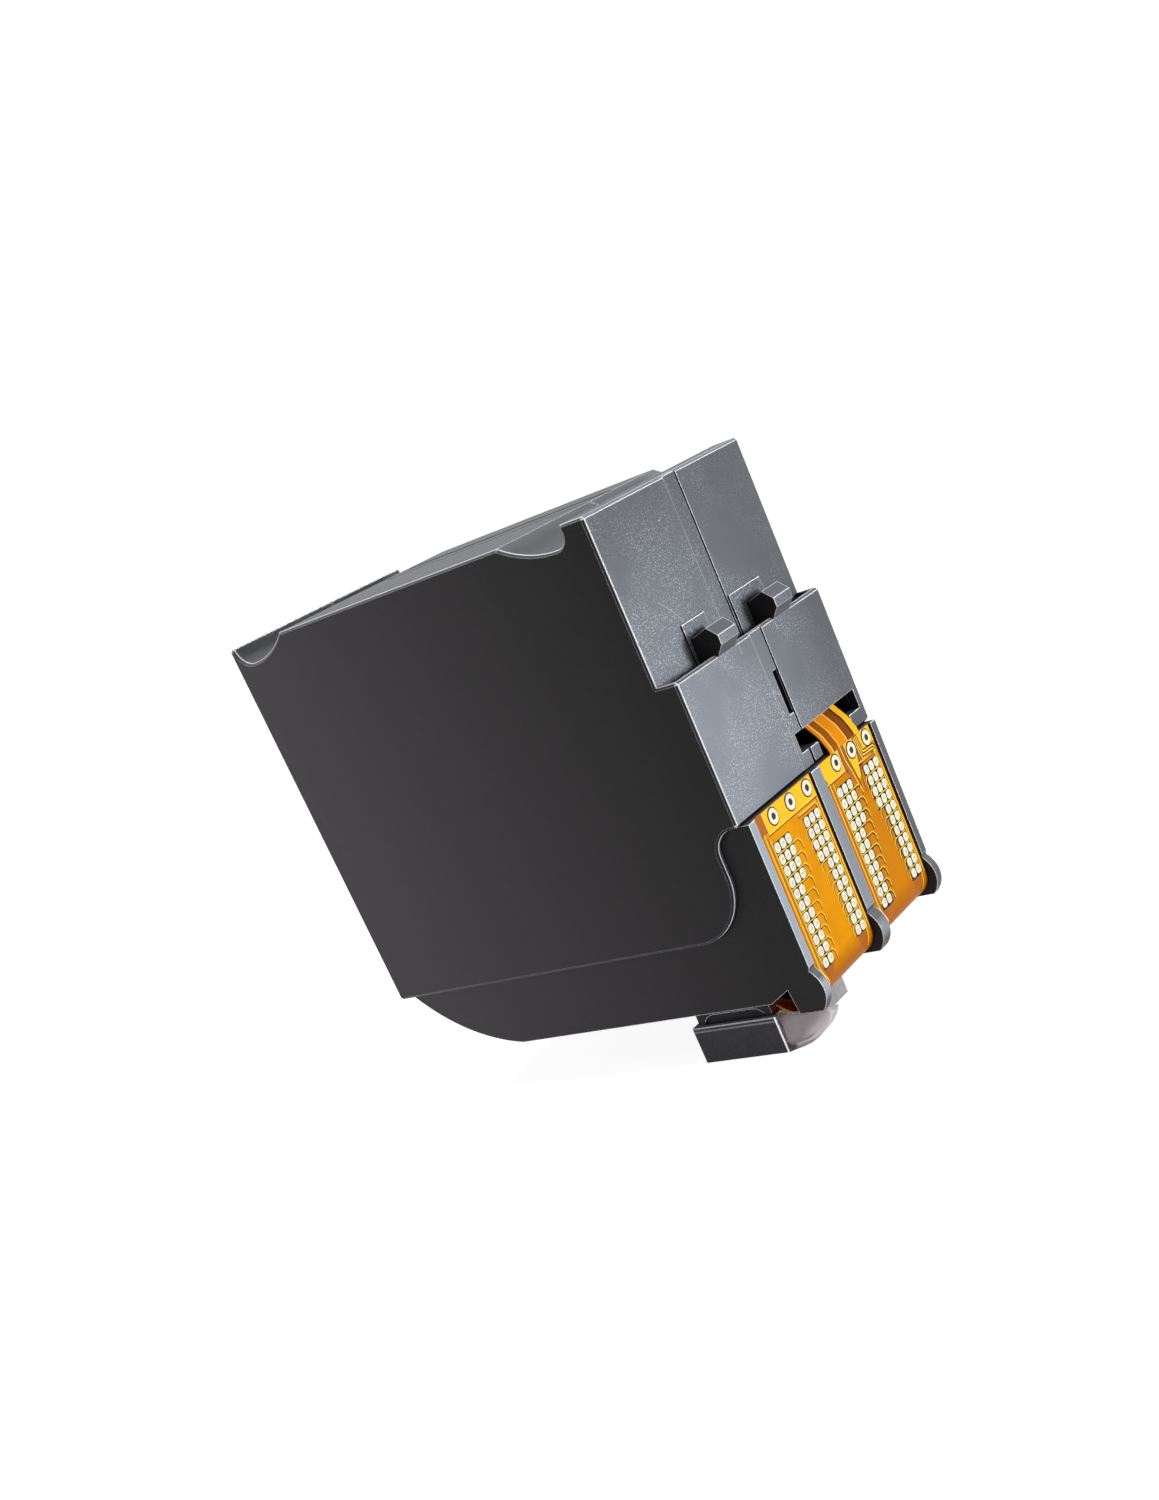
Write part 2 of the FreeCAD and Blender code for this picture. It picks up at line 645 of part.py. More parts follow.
def left_case():
    body = case_half("left_case_shell", -1)
    lap_strip(body, "upper_lap", front, trough_floor, size.height + size.overrun)
    lap_strip(body, "lower_lap", panel_front, size.panelBottom - size.overrun, size.ledgeHeight + size.overrun)
    past_parting = size.partingOffset + size.overrun
    slit_low = above_lap + panel_tall * size.slitLowShare
    slit_high = above_lap + panel_tall * size.slitHighShare
    through_panel(body, "slit", size.partingOffset - size.slitWidth, slit_low, past_parting, slit_high)
    through_panel(body, "window", size.partingOffset - size.windowLap, window_sill, past_parting, window_head)
    stop_right = -size.frameThick / 2 - size.seatGap
    stop_low = size.lugBottom - size.stopMargin
    stop_high = size.lugBottom + size.lugTall + size.stopMargin
    front_wall = front + size.caseWall
    back_wall = back - size.caseWall
    for name, start, end in (
        ("front_stop", front_wall - size.sink, front_wall + size.stopLength),
        ("back_stop", back_wall - size.stopLength, back_wall + size.sink),
    ):
        stop = rectangle(start, stop_low, end, stop_high)
        stop_view = outline(body, name + "_view", "YZ_Plane", stop_right - size.tongueReach, stop)
        pad(body, name, stop_view, size.tongueReach)
    return body


def tongue_path(outside):
    """A ring inside the case walls, from the lower panel over the top to the back rim."""
    inside = size.caseWall + size.seatGap + size.tongueThick
    foot = size.rimHeight + size.spigotRise + size.tongueFoot
    start = size.ledgeHeight + size.tongueStart
    return [
        (front + outside, start),
        (front + inside, start),
        (front + inside, inner_top + size.caseWall - inside),
    ] + ceiling(inside - size.caseWall)[::-1] + [
        (back - inside, inner_top + size.caseWall - inside),
        (back - inside, foot),
        (back - outside, foot),
        (back - outside, inner_top + size.caseWall - outside),
    ] + ceiling(outside - size.caseWall) + [
        (front + outside, inner_top + size.caseWall - outside),
    ]


def bridge_path():
    """Side view of the bridge that holds the block under the window, behind the opening."""
    panel_back = panel_front + size.caseWall
    near = panel_back + size.bridgeSet
    far = near + size.bridgeThick
    high = window_head + size.bridgeRise
    root = panel_back - size.sink
    return [
        (root, above_lap), (far, above_lap), (far, high), (root, high),
        (root, window_head), (near, window_head), (near, window_sill), (root, window_sill),
    ]


def right_case():
    body = case_half("right_case_shell", 1)
    before_parting = size.partingOffset - size.overrun
    through_panel(body, "window", before_parting, window_sill, half_width - size.windowEdge, window_head)
    block_left = size.partingOffset + size.blockGap
    bridge = outline(body, "bridge_view", "YZ_Plane", block_left, bridge_path())
    pad(body, "bridge", bridge, slot_left - block_left - size.seatGap)
    slot_low = size.panelBottom - size.overrun
    slot_high = window_sill + size.overrun
    through_panel(body, "tail_slot", slot_left, slot_low, slot_right, slot_high)
    through_panel(body, "block_gap", before_parting, slot_low, block_left, slot_high)
    root = outline(body, "tongue_root_view", "YZ_Plane", size.partingOffset, tongue_path(size.caseWall - size.sink))
    pad(body, "tongue_root", root, size.tongueReach)
    tongue_start = size.partingOffset - size.tongueReach
    tongue = outline(body, "tongue_view", "YZ_Plane", tongue_start, tongue_path(size.caseWall + size.seatGap))
    pad(body, "tongue", tongue, size.tongueReach + size.sink)
    for number, across in enumerate(post_places(), start=1):
        centre = (across, board_top - size.postDrop)
        post = disc(body, "post_view_%d" % number, "XZ_Plane", -(front - size.sink), centre, size.postRadius)
        pad(body, "post_%d" % number, post, size.stepProud - size.caseWall)
    return body


def post_places():
    """The two posts that carry the circuit board, across the width."""
    return tail_left + size.postInset, tail_right - size.postInset


# Base with the two printhead snouts
def base_outline():
    """Side view of the base below the case's edge, with the nose and the notch behind it."""
    neck = front + size.neckSetback - size.seatGap
    rim = size.rimHeight - size.seatGap
    top = size.panelBottom - size.seatGap
    toe = front - size.toeBack
    return [
        (channel, top),
        (channel, size.noseRound - size.noseDrop),
        (channel + size.noseRound, -size.noseDrop, size.noseRound, 1),
        (toe, -size.noseDrop),
        (toe + size.notchLean, size.notchApex),
        (front + size.notchLength, 0),
        (base_back - size.sweepLength, 0),
        (base_back, rim, size.sweepRound, 1),
        (neck + size.seatGap + size.frontCorner, rim),
        (neck, size.rimHeight + size.frontCorner, size.frontCorner + size.seatGap, -1),
        (neck, size.panelBottom - size.neckRound),
        (front + size.neckSetback - size.neckRound, top, size.neckRound - size.seatGap, 1),
    ]


def spigot_outline():
    """Side view of the part of the base that stands inside the case."""
    lap = panel_front + size.caseWall + size.spigotGap
    return [
        (lap, size.panelBottom - size.neckRound),
        (front + size.frontCorner, size.spigotRoot),
        (base_back - size.spigotRoot, size.spigotRoot * 2),
        (base_back, size.rimHeight - size.overrun),
        (base_back, size.rimHeight + size.spigotRise),
        (front + size.frontCorner, size.rimHeight + size.spigotRise),
        (front + size.baseWall + size.overrun, lap_top),
        (lap, lap_top),
    ]


def base_inside():
    """Side view of the space in the base, open above."""
    wall = size.baseWall
    lap = panel_front + size.caseWall + size.spigotGap
    rim = size.rimHeight - size.seatGap
    return [
        (lap + wall, size.height),
        (lap + wall, size.panelBottom - size.shoulderRise),
        (channel + wall, size.panelBottom - size.shoulderRise * 2),
        (channel + wall, size.noseFloor),
        (front, size.notchFloor),
        (front + size.notchLength + size.floorThick, size.floorThick),
        (base_back - size.sweepLength - size.overrun, size.floorThick),
        (base_back - wall, rim, size.sweepRound - wall, 1),
        (base_back - wall, size.height),
    ]


def rib_outline():
    """Side view of a front rib with its swollen toe."""
    top = size.panelBottom - size.seatGap
    root = channel + size.ribRoot
    toe = front - size.toeBack
    notch_front = toe + size.notchLean
    swell = rib_face + size.cheekStep
    return [
        (root, top),
        (rib_face, top),
        (rib_face, size.cheekTop + size.cheekStep * 2),
        (swell, size.cheekTop),
        (swell + size.cheekStep, -size.cheekDrop, size.cheekRound, 1),
        (toe, -size.cheekDrop),
        (notch_front, size.notchApex),
        (notch_front, size.ribFoot),
        (root, size.ribFoot + size.overrun),
    ]


def snout_front_of(side):
    return front + size.snoutFront + (size.headStagger if side > 0 else 0)


def head_centre_of(side):
    """Middle of a snout's length."""
    return snout_front_of(side) + size.snoutLength / 2


def base():
    body = new_body("printhead_base")
    pad(body, "block", outline(body, "base_view", "YZ_Plane", -base_half, base_outline()), base_half * 2)
    pad(body, "spigot", outline(body, "spigot_view", "YZ_Plane", -spigot_half, spigot_outline()), spigot_half * 2)
    inner_half = spigot_half - size.spigotWall
    inside = outline(body, "inside_view", "YZ_Plane", -inner_half, base_inside())
    pocket(body, "inside", inside, inner_half * 2)
    places = [(-base_half, size.sideRib), (-size.midRib / 2, size.midRib), (base_half - size.sideRib, size.sideRib)]
    for number, (start, thick) in enumerate(places, start=1):
        rib = outline(body, "rib_view_%d" % number, "YZ_Plane", start, rib_outline())
        pad(body, "rib_%d" % number, rib, thick)
    for name, side in (("left", -1), ("right", 1)):
        snout(body, name, side)
    return body


def snout(body, name, side):
    """A snout under the base, its standpipe, the ink way through both, and the film's channel."""
    start = snout_front_of(side)
    end = start + size.snoutLength
    middle = head_centre_of(side)
    centre = head_middle * side
    left = centre - head_width / 2
    right = left + head_width
    block = [
        (start, size.sink),
        (start, snout_bottom + size.snoutRound),
        (start + size.snoutRound, snout_bottom, size.snoutRound, 1),
        (end, snout_bottom),
        (end, size.sink),
    ]
    pad(body, name + "_snout", outline(body, name + "_snout_view", "YZ_Plane", left, block), head_width)
    half = size.pipeSide / 2
    pipe = rectangle(centre - half, middle - half, centre + half, middle + half)
    pipe_root = size.floorThick - size.sink
    pipe_view = outline(body, name + "_pipe_view", "XY_Plane", pipe_root, pipe)
    pad(body, name + "_pipe", pipe_view, size.pipeTop - pipe_root)
    below = snout_bottom - size.overrun
    bore = disc(body, name + "_bore_view", "XY_Plane", below, (centre, middle), size.pipeBore)
    pocket(body, name + "_bore", bore, size.pipeTop + size.snoutDrop + size.overrun * 2)
    seat_half = size.dieWidth / 2 + size.seatGap
    seat_long = size.dieLength / 2 + size.seatGap
    seat = rectangle(centre - seat_half, middle - seat_long, centre + seat_half, middle + seat_long)
    seat_view = outline(body, name + "_seat_view", "XY_Plane", below, seat)
    pocket(body, name + "_seat", seat_view, size.dieThick + size.overrun)
    film_way = rectangle(left, front + size.notchLength - size.sink, right, start)
    film_way_view = outline(body, name + "_film_way_view", "XY_Plane", -size.overrun, film_way)
    pocket(body, name + "_film_way", film_way_view, size.overrun + size.flexThick)
    edge = size.recessEdge
    recess = rounded(start + edge, snout_bottom + edge, end - edge, -edge, size.recessRound)
    recess_start = left - size.overrun if side < 0 else right - size.recessDeep
    recess_view = outline(body, name + "_recess_view", "YZ_Plane", recess_start, recess)
    pocket(body, name + "_recess", recess_view, size.overrun + size.recessDeep)


# Flexible circuits
def point(across, up):
    """A point of a side view, on the plane x = 0."""
    return Vector(0, as_size(across).value, as_size(up).value)


def strip(points, thick, width, start, bends):
    """A strip along a side-view path: bends gives the radius at each inner corner."""
    edges = []
    here = points[0]
    for index in range(1, len(points) - 1):
        corner = points[index]
        before = (points[index - 1] - corner).normalize()
        after = (points[index + 1] - corner).normalize()
        angle = before.getAngle(after)
        radius = bends[index - 1]
        if radius > 0 and angle < math.pi - TOUCH:
            reach = radius / math.tan(angle / 2)
            first = corner + before * reach
            last = corner + after * reach
            bisector = (before + after).normalize()
            middle = corner + bisector * (radius / math.sin(angle / 2) - radius)
            if (first - here).Length > TOUCH:
                edges.append(Part.LineSegment(here, first).toShape())
            edges.append(Part.Arc(first, middle, last).toShape())
            here = last
        else:
            edges.append(Part.LineSegment(here, corner).toShape())
            here = corner
    edges.append(Part.LineSegment(here, points[-1]).toShape())
    wire = Part.Wire(edges)
    face = wire.makeOffset2D(thick, join=2, fill=True, openResult=True)
    solid = face.extrude(Vector(width, 0, 0))
    solid.translate(Vector(start, 0, 0))
    return solid.Solids[0] if solid.Solids else solid


def flex_path(side):
    """The circuit's path on the base: down the front, round the nose, and on to the snout."""
    start = snout_front_of(side)
    return [
        point(channel, size.panelBottom - size.seatGap),
        point(channel, -size.noseDrop),
        point(front - size.toeBack, -size.noseDrop),
        point(front + size.notchLength, size.flexThick),
        point(start, size.flexThick),
        point(start, snout_bottom),
        point(start + size.snoutLength, snout_bottom),
    ]


def place_feature(label, shape):
    feature = doc.addObject("Part::Feature", label)
    feature.Label = label
    feature.Shape = shape
    feature.Placement = Placement()
    return feature


def flex_film(side):
    """Film of one circuit, with the opening for the nozzle plate."""
    left = (head_middle * side - film_half).value
    width = (film_half * 2).value
    thick = size.flexThick.value
    bends = [size.noseRound.value, 0, 0, 0, size.snoutRound.value]
    path = flex_path(side)
    film = strip(path, thick, width, left, bends)
    if film.BoundBox.YMin > channel.value - thick / 2:
        film = strip(path, -thick, width, left, bends)
    opening_wide = (size.plateWidth + size.seatGap * 2).value
    opening_long = (size.plateLength + size.seatGap * 2).value
    opening = Part.makeBox(opening_wide, opening_long, (size.overrun * 2).value)
    corner = Vector((head_middle * side).value - opening_wide / 2, head_centre_of(side).value - opening_long / 2,
                    (snout_bottom - size.overrun).value)
    opening.translate(corner)
    return film.cut(opening)


def tail_film():
    """The tail of the right circuit, out of the window and down to the circuit's top edge."""
    under_posts = board_top - size.postDrop - size.postRadius
    window_tall = window_head - window_sill
    points = [
        point(tail_face, board_low + (under_posts - board_low) * size.tailShare),
        point(tail_face, window_head - window_tall * size.tailDipShare),
        point((tail_face + channel) / 2 - size.tailSlack, window_sill + size.seatGap * 2),
        point(channel, size.panelBottom + size.tailSlack),
        point(channel, size.panelBottom - size.seatGap),
    ]
    width = (tail_right - tail_left).value
    thick = size.flexThick.value
    bends = [size.tailBend.value, size.tailBow.value, size.tailBend.value]
    film = strip(points, thick, width, tail_left.value, bends)
    if film.BoundBox.YMax > tail_face.value + thick / 2:
        film = strip(points, -thick, width, tail_left.value, bends)
    return film


def flexible_circuits():
    place_feature("left_flex_circuit", flex_film(-1))
    place_feature("right_flex_circuit", flex_film(1).fuse(tail_film()).removeSplitter())


# Contact pads and test rings, plated on the circuits
def contact_pads(label, side):
    """Two blocks of rows: three pads in the upper rows and the two outer ones in the lower rows."""
    first = head_middle * side - film_half + size.padLeftMargin + size.padWidth / 2
    last = head_middle * side + film_half - size.padRightMargin - size.padWidth / 2
    face = channel - size.flexThick
    members = []
    for outer, inward in ((first, 1), (last, -1)):
        for row in range(PAD_ROWS):
            for column in range(WIDE_COUNT if row < WIDE_ROWS else NARROW_COUNT):
                centre = outer + size.padPitch * (column * inward)
                level = size.topRow - size.rowPitch * row
                low = (centre - size.padWidth / 2, face - size.padThick, level - size.padTall / 2)
                high = (centre + size.padWidth / 2, face, level + size.padTall / 2)
                members.append(plain_box("pad", low, high))
    return group(label, members)


def test_rings(label, side):
    """Three plated rings in the band above the pads."""
    first = head_middle * side - film_half + size.ringLeftMargin
    last = head_middle * side + film_half - size.ringRightMargin
    face = channel - size.flexThick
    members = []
    for centre in (first, (first + last) / 2, last):
        ring = doc.addObject("Part::Cut", "ring")
        ring.Base = ring_disc("ring_outer", centre, face, size.ringOuter)
        ring.Tool = ring_disc("ring_inner", centre, face, size.ringInner)
        members.append(ring)
    return group(label, members)


def ring_disc(name, centre, face, radius):
    cylinder = doc.addObject("Part::Cylinder", name)
    cylinder.Radius = radius.value
    cylinder.setExpression("Radius", radius.text)
    cylinder.Height = size.padThick.value
    cylinder.setExpression("Height", size.padThick.text)
    cylinder.Placement = Placement(Vector(centre.value, face.value, size.ringHeight.value),
                                   Rotation(Vector(1, 0, 0), 90))
    cylinder.setExpression("Placement.Base.x", centre.text)
    cylinder.setExpression("Placement.Base.y", face.text)
    cylinder.setExpression("Placement.Base.z", size.ringHeight.text)
    return cylinder


# Printhead parts in and under each snout
def head_box(label, side, wide, long, bottom, top):
    """A box centred on a snout."""
    centre = head_middle * side
    middle = head_centre_of(side)
    return plain_box(label, (centre - wide / 2, middle - long / 2, bottom), (centre + wide / 2, middle + long / 2, top))


def encapsulant(label, side):
    """The two beads over the ends of the nozzle plate."""
    centre = head_middle * side
    bottom = snout_bottom - size.flexThick
    reach = size.plateLength / 2 + size.seatGap / 2 + size.beadWidth / 2
    members = []
    for end in (-1, 1):
        place = head_centre_of(side) + reach * end
        low = (centre - size.plateWidth / 2, place - size.beadWidth / 2, bottom - size.beadThick)
        high = (centre + size.plateWidth / 2, place + size.beadWidth / 2, bottom)
        members.append(plain_box("bead", low, high))
    return group(label, members)


def printheads():
    die_top = snout_bottom + size.dieThick
    die_bottom = snout_bottom - size.flexThick
    filter_side = size.pipeSide - size.filterInset * 2
    for name, side in (("left", -1), ("right", 1)):
        head_box(name + "_printhead_die", side, size.dieWidth, size.dieLength, die_bottom, die_top)
        head_box(name + "_nozzle_plate", side, size.plateWidth, size.plateLength, plate_bottom, die_bottom)
        encapsulant(name + "_encapsulant", side)
        head_box(name + "_ink_filter", side, filter_side, filter_side, size.pipeTop, manifold_bottom)


# Nozzle caps
def nozzle_cap(name, side):
    """A clear snap-on cap round a snout, with a pull tab in front."""
    body = new_body(name + "_nozzle_cap")
    start = snout_front_of(side) - cap_gap
    end = snout_front_of(side) + size.snoutLength + size.seatGap
    left = head_middle * side - head_width / 2 - size.seatGap
    right = left + head_width + size.seatGap * 2
    wall = size.capWall
    rim = -size.capRim
    box = rectangle(start - wall, cap_bottom, end + wall, rim)
    pad(body, "tray", outline(body, "tray_view", "YZ_Plane", left - wall, box), right - left + wall * 2)
    space = rectangle(left, start, right, end)
    pocket(body, "space", outline(body, "space_view", "XY_Plane", cap_floor, space), size.snoutDrop)
    root = start - wall + size.tabJoin
    tip = start - wall - size.tabReach
    foot = start - wall - size.tabFoot
    web = [
        (root, rim),
        (tip + size.tabLip, rim),
        (tip, rim - size.tabLip),
        (foot, cap_bottom + size.tabLip, size.tabCurve, 1),
        (root, cap_bottom),
    ]
    web_left = left - wall if side < 0 else right + wall - size.tabThick
    pad(body, "web", outline(body, "web_view", "YZ_Plane", web_left, web), size.tabThick)
    band = [
        (tip + size.tabBand, rim - size.tabLip, size.tabCurve - size.tabBand, -1),
        (tip, rim - size.tabLip),
        (foot, cap_bottom + size.tabLip, size.tabCurve, 1),
        (root, cap_bottom),
        (root, cap_bottom + size.capWall),
        (foot + size.tabJoin, cap_bottom + size.tabBand),
    ]
    band_left = left - wall if side < 0 else right + wall - size.tabEdge
    pad(body, "tab_band", outline(body, "band_view", "YZ_Plane", band_left, band), size.tabEdge)
    return body


def cap_seal(name, side):
    """The soft pad in the cap that closes the nozzles."""
    wide = size.plateWidth - size.sealInset * 2
    long = size.plateLength - size.sealInset * 2
    return head_box(name + "_cap_seal", side, wide, long, cap_floor, plate_bottom)


# Ink supply inside the case
def ink_manifold():
    """The block that leads the ink from the bag to the two standpipes."""
    body = new_body("ink_manifold")
    half = size.pipeSide / 2
    way_half = size.pipeBore
    near = head_centre_of(-1)
    far = head_centre_of(1)
    block = rectangle(-head_middle - half, near - half, head_middle + half, far + half)
    pad(body, "block", outline(body, "block_view", "XY_Plane", manifold_bottom, block), size.manifoldTall)
    below = manifold_bottom - size.overrun
    for name, side in (("left", -1), ("right", 1)):
        centre = (head_middle * side, head_centre_of(side))
        way = disc(body, name + "_way_view", "XY_Plane", below, centre, size.pipeBore)
        pocket(body, name + "_way", way, size.manifoldTall / 2 + size.overrun)
    duct = [
        (-head_middle - way_half, near - way_half),
        (way_half, near - way_half),
        (head_middle + way_half, far - way_half),
        (head_middle + way_half, far + way_half),
        (-way_half, far + way_half),
        (-head_middle - way_half, near + way_half),
    ]
    duct_floor = manifold_bottom + size.overrun
    pocket(body, "duct", outline(body, "duct_view", "XY_Plane", duct_floor, duct), size.manifoldTall / 2)
    inlet = disc(body, "inlet_view", "XY_Plane", duct_floor, (0, (near + far) / 2), size.pipeBore)
    pocket(body, "inlet", inlet, size.manifoldTall + size.overrun)
    return body


def bag_frame():
    """The upright frame that carries the two films of the ink bag."""
    body = new_body("bag_frame")
    half = size.frameThick / 2
    wall = size.frameWall
    ring = rounded(frame_front, frame_bottom, frame_back, frame_top, size.frameRound)
    pad(body, "frame", outline(body, "frame_view", "YZ_Plane", -half, ring), size.frameThick)
    play = size.caseWall + size.seatGap
    for name, start, end in (
        ("front_lug", front + play, frame_front + size.overrun),
        ("back_lug", frame_back - size.overrun, back - play),
    ):
        lug = rectangle(start, size.lugBottom, end, size.lugBottom + size.lugTall)
        pad(body, name, outline(body, name + "_view", "YZ_Plane", -half, lug), half + size.lugRight)
    hole = rounded(frame_front + wall, frame_bottom + wall, frame_back - wall, frame_top - wall,
                   size.frameRound - wall / 2)
    hole_view = outline(body, "hole_view", "YZ_Plane", -half - size.overrun, hole)
    pocket(body, "hole", hole_view, size.frameThick + size.overrun * 2)
    through_wall = wall + size.overrun * 2
    centre = (0, (head_centre_of(-1) + head_centre_of(1)) / 2)
    outlet = disc(body, "outlet_view", "XY_Plane", frame_bottom - size.overrun, centre, size.pipeBore)
    pocket(body, "outlet", outlet, through_wall)
    port = disc(body, "port_view", "XY_Plane", frame_top - wall - size.overrun, (0, 0), size.portRadius)
    pocket(body, "port", port, through_wall)
    return body


def bag_tray(inset, far_inset, near_level, far_level):
    """A solid between two like outlines with cut corners, the far one further inside; its faces are flat."""
    rings = []
    for step, level in ((inset, near_level), (far_inset, far_level)):
        path = clipped(frame_front + step, frame_bottom + step, frame_back - step, frame_top - step, size.filmCorner)
        rings.append([Vector(level.value, across.value, up.value) for across, up in path])
    near, far = rings
    loops = [near[::-1], far]
    for index in range(len(near)):
        following = (index + 1) % len(near)
        loops.append([near[index], near[following], far[following], far[index]])
    faces = [Part.Face(Part.makePolygon(loop + loop[:1])) for loop in loops]
    return Part.Solid(Part.Shell(faces))


def bag_film(label, side):
    """One film of the bag: a flange on the frame and a thin tray that bulges from it."""
    root = size.frameThick / 2
    thick = size.filmThick
    edge = size.flangeInset + size.flangeWidth
    corner = Vector(root.value, (frame_front + size.flangeInset).value, (frame_bottom + size.flangeInset).value)
    long = (frame_back - frame_front - size.flangeInset * 2).value
    tall = (frame_top - frame_bottom - size.flangeInset * 2).value
    flange = Part.makeBox(thick.value, long, tall, corner)
    rims = [rim for rim in flange.Edges if abs(rim.Vertexes[0].X - rim.Vertexes[1].X) > TOUCH]
    flange = flange.makeFillet(size.frameRound.value, rims)
    skin = bag_tray(edge, edge + size.filmDraft, root, film_flat)
    space = bag_tray(edge + thick, edge + thick + size.filmDraft, root, film_flat - thick)
    film = flange.fuse(skin).cut(space)
    if side < 0:
        film = film.mirror(Vector(), Vector(1, 0, 0))
    return place_feature(label, film.Solids[0])


def bag_plate(label, side):
    """A stiff plate that the bow spring presses against one film."""
    body = new_body(label)
    start = -plate_face if side < 0 else plate_face - size.bagPlateThick
    rise = size.filmDraft + size.bagPlateRise
    plate = rounded(front + plate_inset, frame_bottom + rise, back - plate_inset, frame_top - rise,
                    size.bagPlateRound)
    pad(body, "plate", outline(body, "plate_view", "YZ_Plane", start, plate), size.bagPlateThick)
    return body


def bag_spring():
    """A bowed strip that keeps the two plates apart: its ends bear left, its middle right."""
    reach = (plate_face - size.bagPlateThick).value
    thick = size.springThick.value
    half_span = (back - plate_inset - size.springInset).value
    level = ((frame_bottom + frame_top - size.springTall) / 2).value
    ends = [Vector(-reach, -half_span, level), Vector(-reach, half_span, level)]
    bow = Part.Arc(ends[0], Vector(reach - thick, 0, level), ends[1])
    wire = Part.Wire([bow.toShape()])
    face = wire.makeOffset2D(thick, join=2, fill=True, openResult=True)
    if face.BoundBox.XMax < reach - thick / 2:
        face = wire.makeOffset2D(-thick, join=2, fill=True, openResult=True)
    blade = face.extrude(Vector(0, 0, size.springTall.value))
    slack = Part.makeBox(reach, half_span * 4, size.height.value, Vector(-reach * 2, -half_span * 2, 0))
    return place_feature("bag_spring", blade.cut(slack))


def fill_ball():
    """The ball pressed into the bag frame's fill port."""
    ball = doc.addObject("Part::Sphere", "fill_ball")
    ball.Label = "fill_ball"
    ball.Radius = size.portRadius.value
    ball.setExpression("Radius", size.portRadius.text)
    place = frame_top - size.frameWall / 2
    ball.Placement = Placement(Vector(0, 0, place.value), Rotation())
    ball.setExpression("Placement.Base.z", place.text)
    return ball


def circuit_board():
    """The small board behind the window, with its chip, on two posts of the right half."""
    body = new_body("circuit_board")
    left = tail_left - size.boardSide
    right = tail_right + size.boardSide
    start = tail_face + size.boardThick
    board = rectangle(left, board_low, right, board_top)
    pad(body, "board", outline(body, "board_view", "XZ_Plane", -start, board), size.boardThick)
    for number, across in enumerate(post_places(), start=1):
        centre = (across, board_top - size.postDrop)
        hole = disc(body, "hole_view_%d" % number, "XZ_Plane", -start - size.overrun, centre,
                    size.postRadius + size.seatGap)
        pocket(body, "hole_%d" % number, hole, size.boardThick + size.overrun * 2)
    half = (board_top - board_low) * size.chipShare / 2
    across = (left + right) / 2
    level = (board_low + board_top) / 2
    plain_box("board_chip", (across - half, start, level - half), (across + half, start + size.chipThick, level + half))
    return body


# The whole cartridge
left_case()
right_case()
base()
flexible_circuits()
for head, sign in (("left", -1), ("right", 1)):
    contact_pads(head + "_contact_pads", sign)
    test_rings(head + "_test_rings", sign)
    nozzle_cap(head, sign)
    cap_seal(head, sign)
    bag_film(head + "_bag_film", sign)
    bag_plate(head + "_bag_plate", sign)
printheads()
ink_manifold()
bag_frame()
bag_spring()
fill_ball()
circuit_board()
doc.recompute()

PIECES = [
    "left_case_shell", "right_case_shell", "printhead_base",
    "left_flex_circuit", "right_flex_circuit",
    "left_contact_pads", "right_contact_pads", "left_test_rings", "right_test_rings",
    "left_printhead_die", "right_printhead_die", "left_nozzle_plate", "right_nozzle_plate",
    "left_encapsulant", "right_encapsulant", "left_ink_filter", "right_ink_filter",
    "left_nozzle_cap", "right_nozzle_cap", "left_cap_seal", "right_cap_seal",
    "ink_manifold", "bag_frame", "left_bag_film", "right_bag_film",
    "left_bag_plate", "right_bag_plate", "bag_spring", "fill_ball",
    "circuit_board", "board_chip",
]


def check_document():
    """Stops if any object failed, any cut removed nothing, or any piece is not valid."""
    for item in doc.Objects:
        if "Invalid" in item.State or "Error" in item.State:
            raise SystemExit("%s is %s" % (item.Name, item.State))
    for feature in cuts:
        before = feature.BaseFeature.Shape.Volume
        if feature.Shape.Volume > before - TOUCH:
            raise SystemExit("%s of %s cuts nothing" % (feature.Name, feature.getParent().Label))
    for label in PIECES:
        shape = doc.getObjectsByLabel(label)[0].Shape
        if shape.isNull() or not shape.isValid() or not shape.Solids:
            raise SystemExit("%s is not a valid solid" % label)


check_document()
os.makedirs("parts", exist_ok=True)
for label in PIECES:
    piece = doc.getObjectsByLabel(label)[0]
    piece.Shape.exportStep("parts/%s.step" % label)
    print(label, len(piece.Shape.Solids), round(piece.Shape.Volume, 2))
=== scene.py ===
import math

import bmesh
import bpy
from mathutils import Matrix, Vector


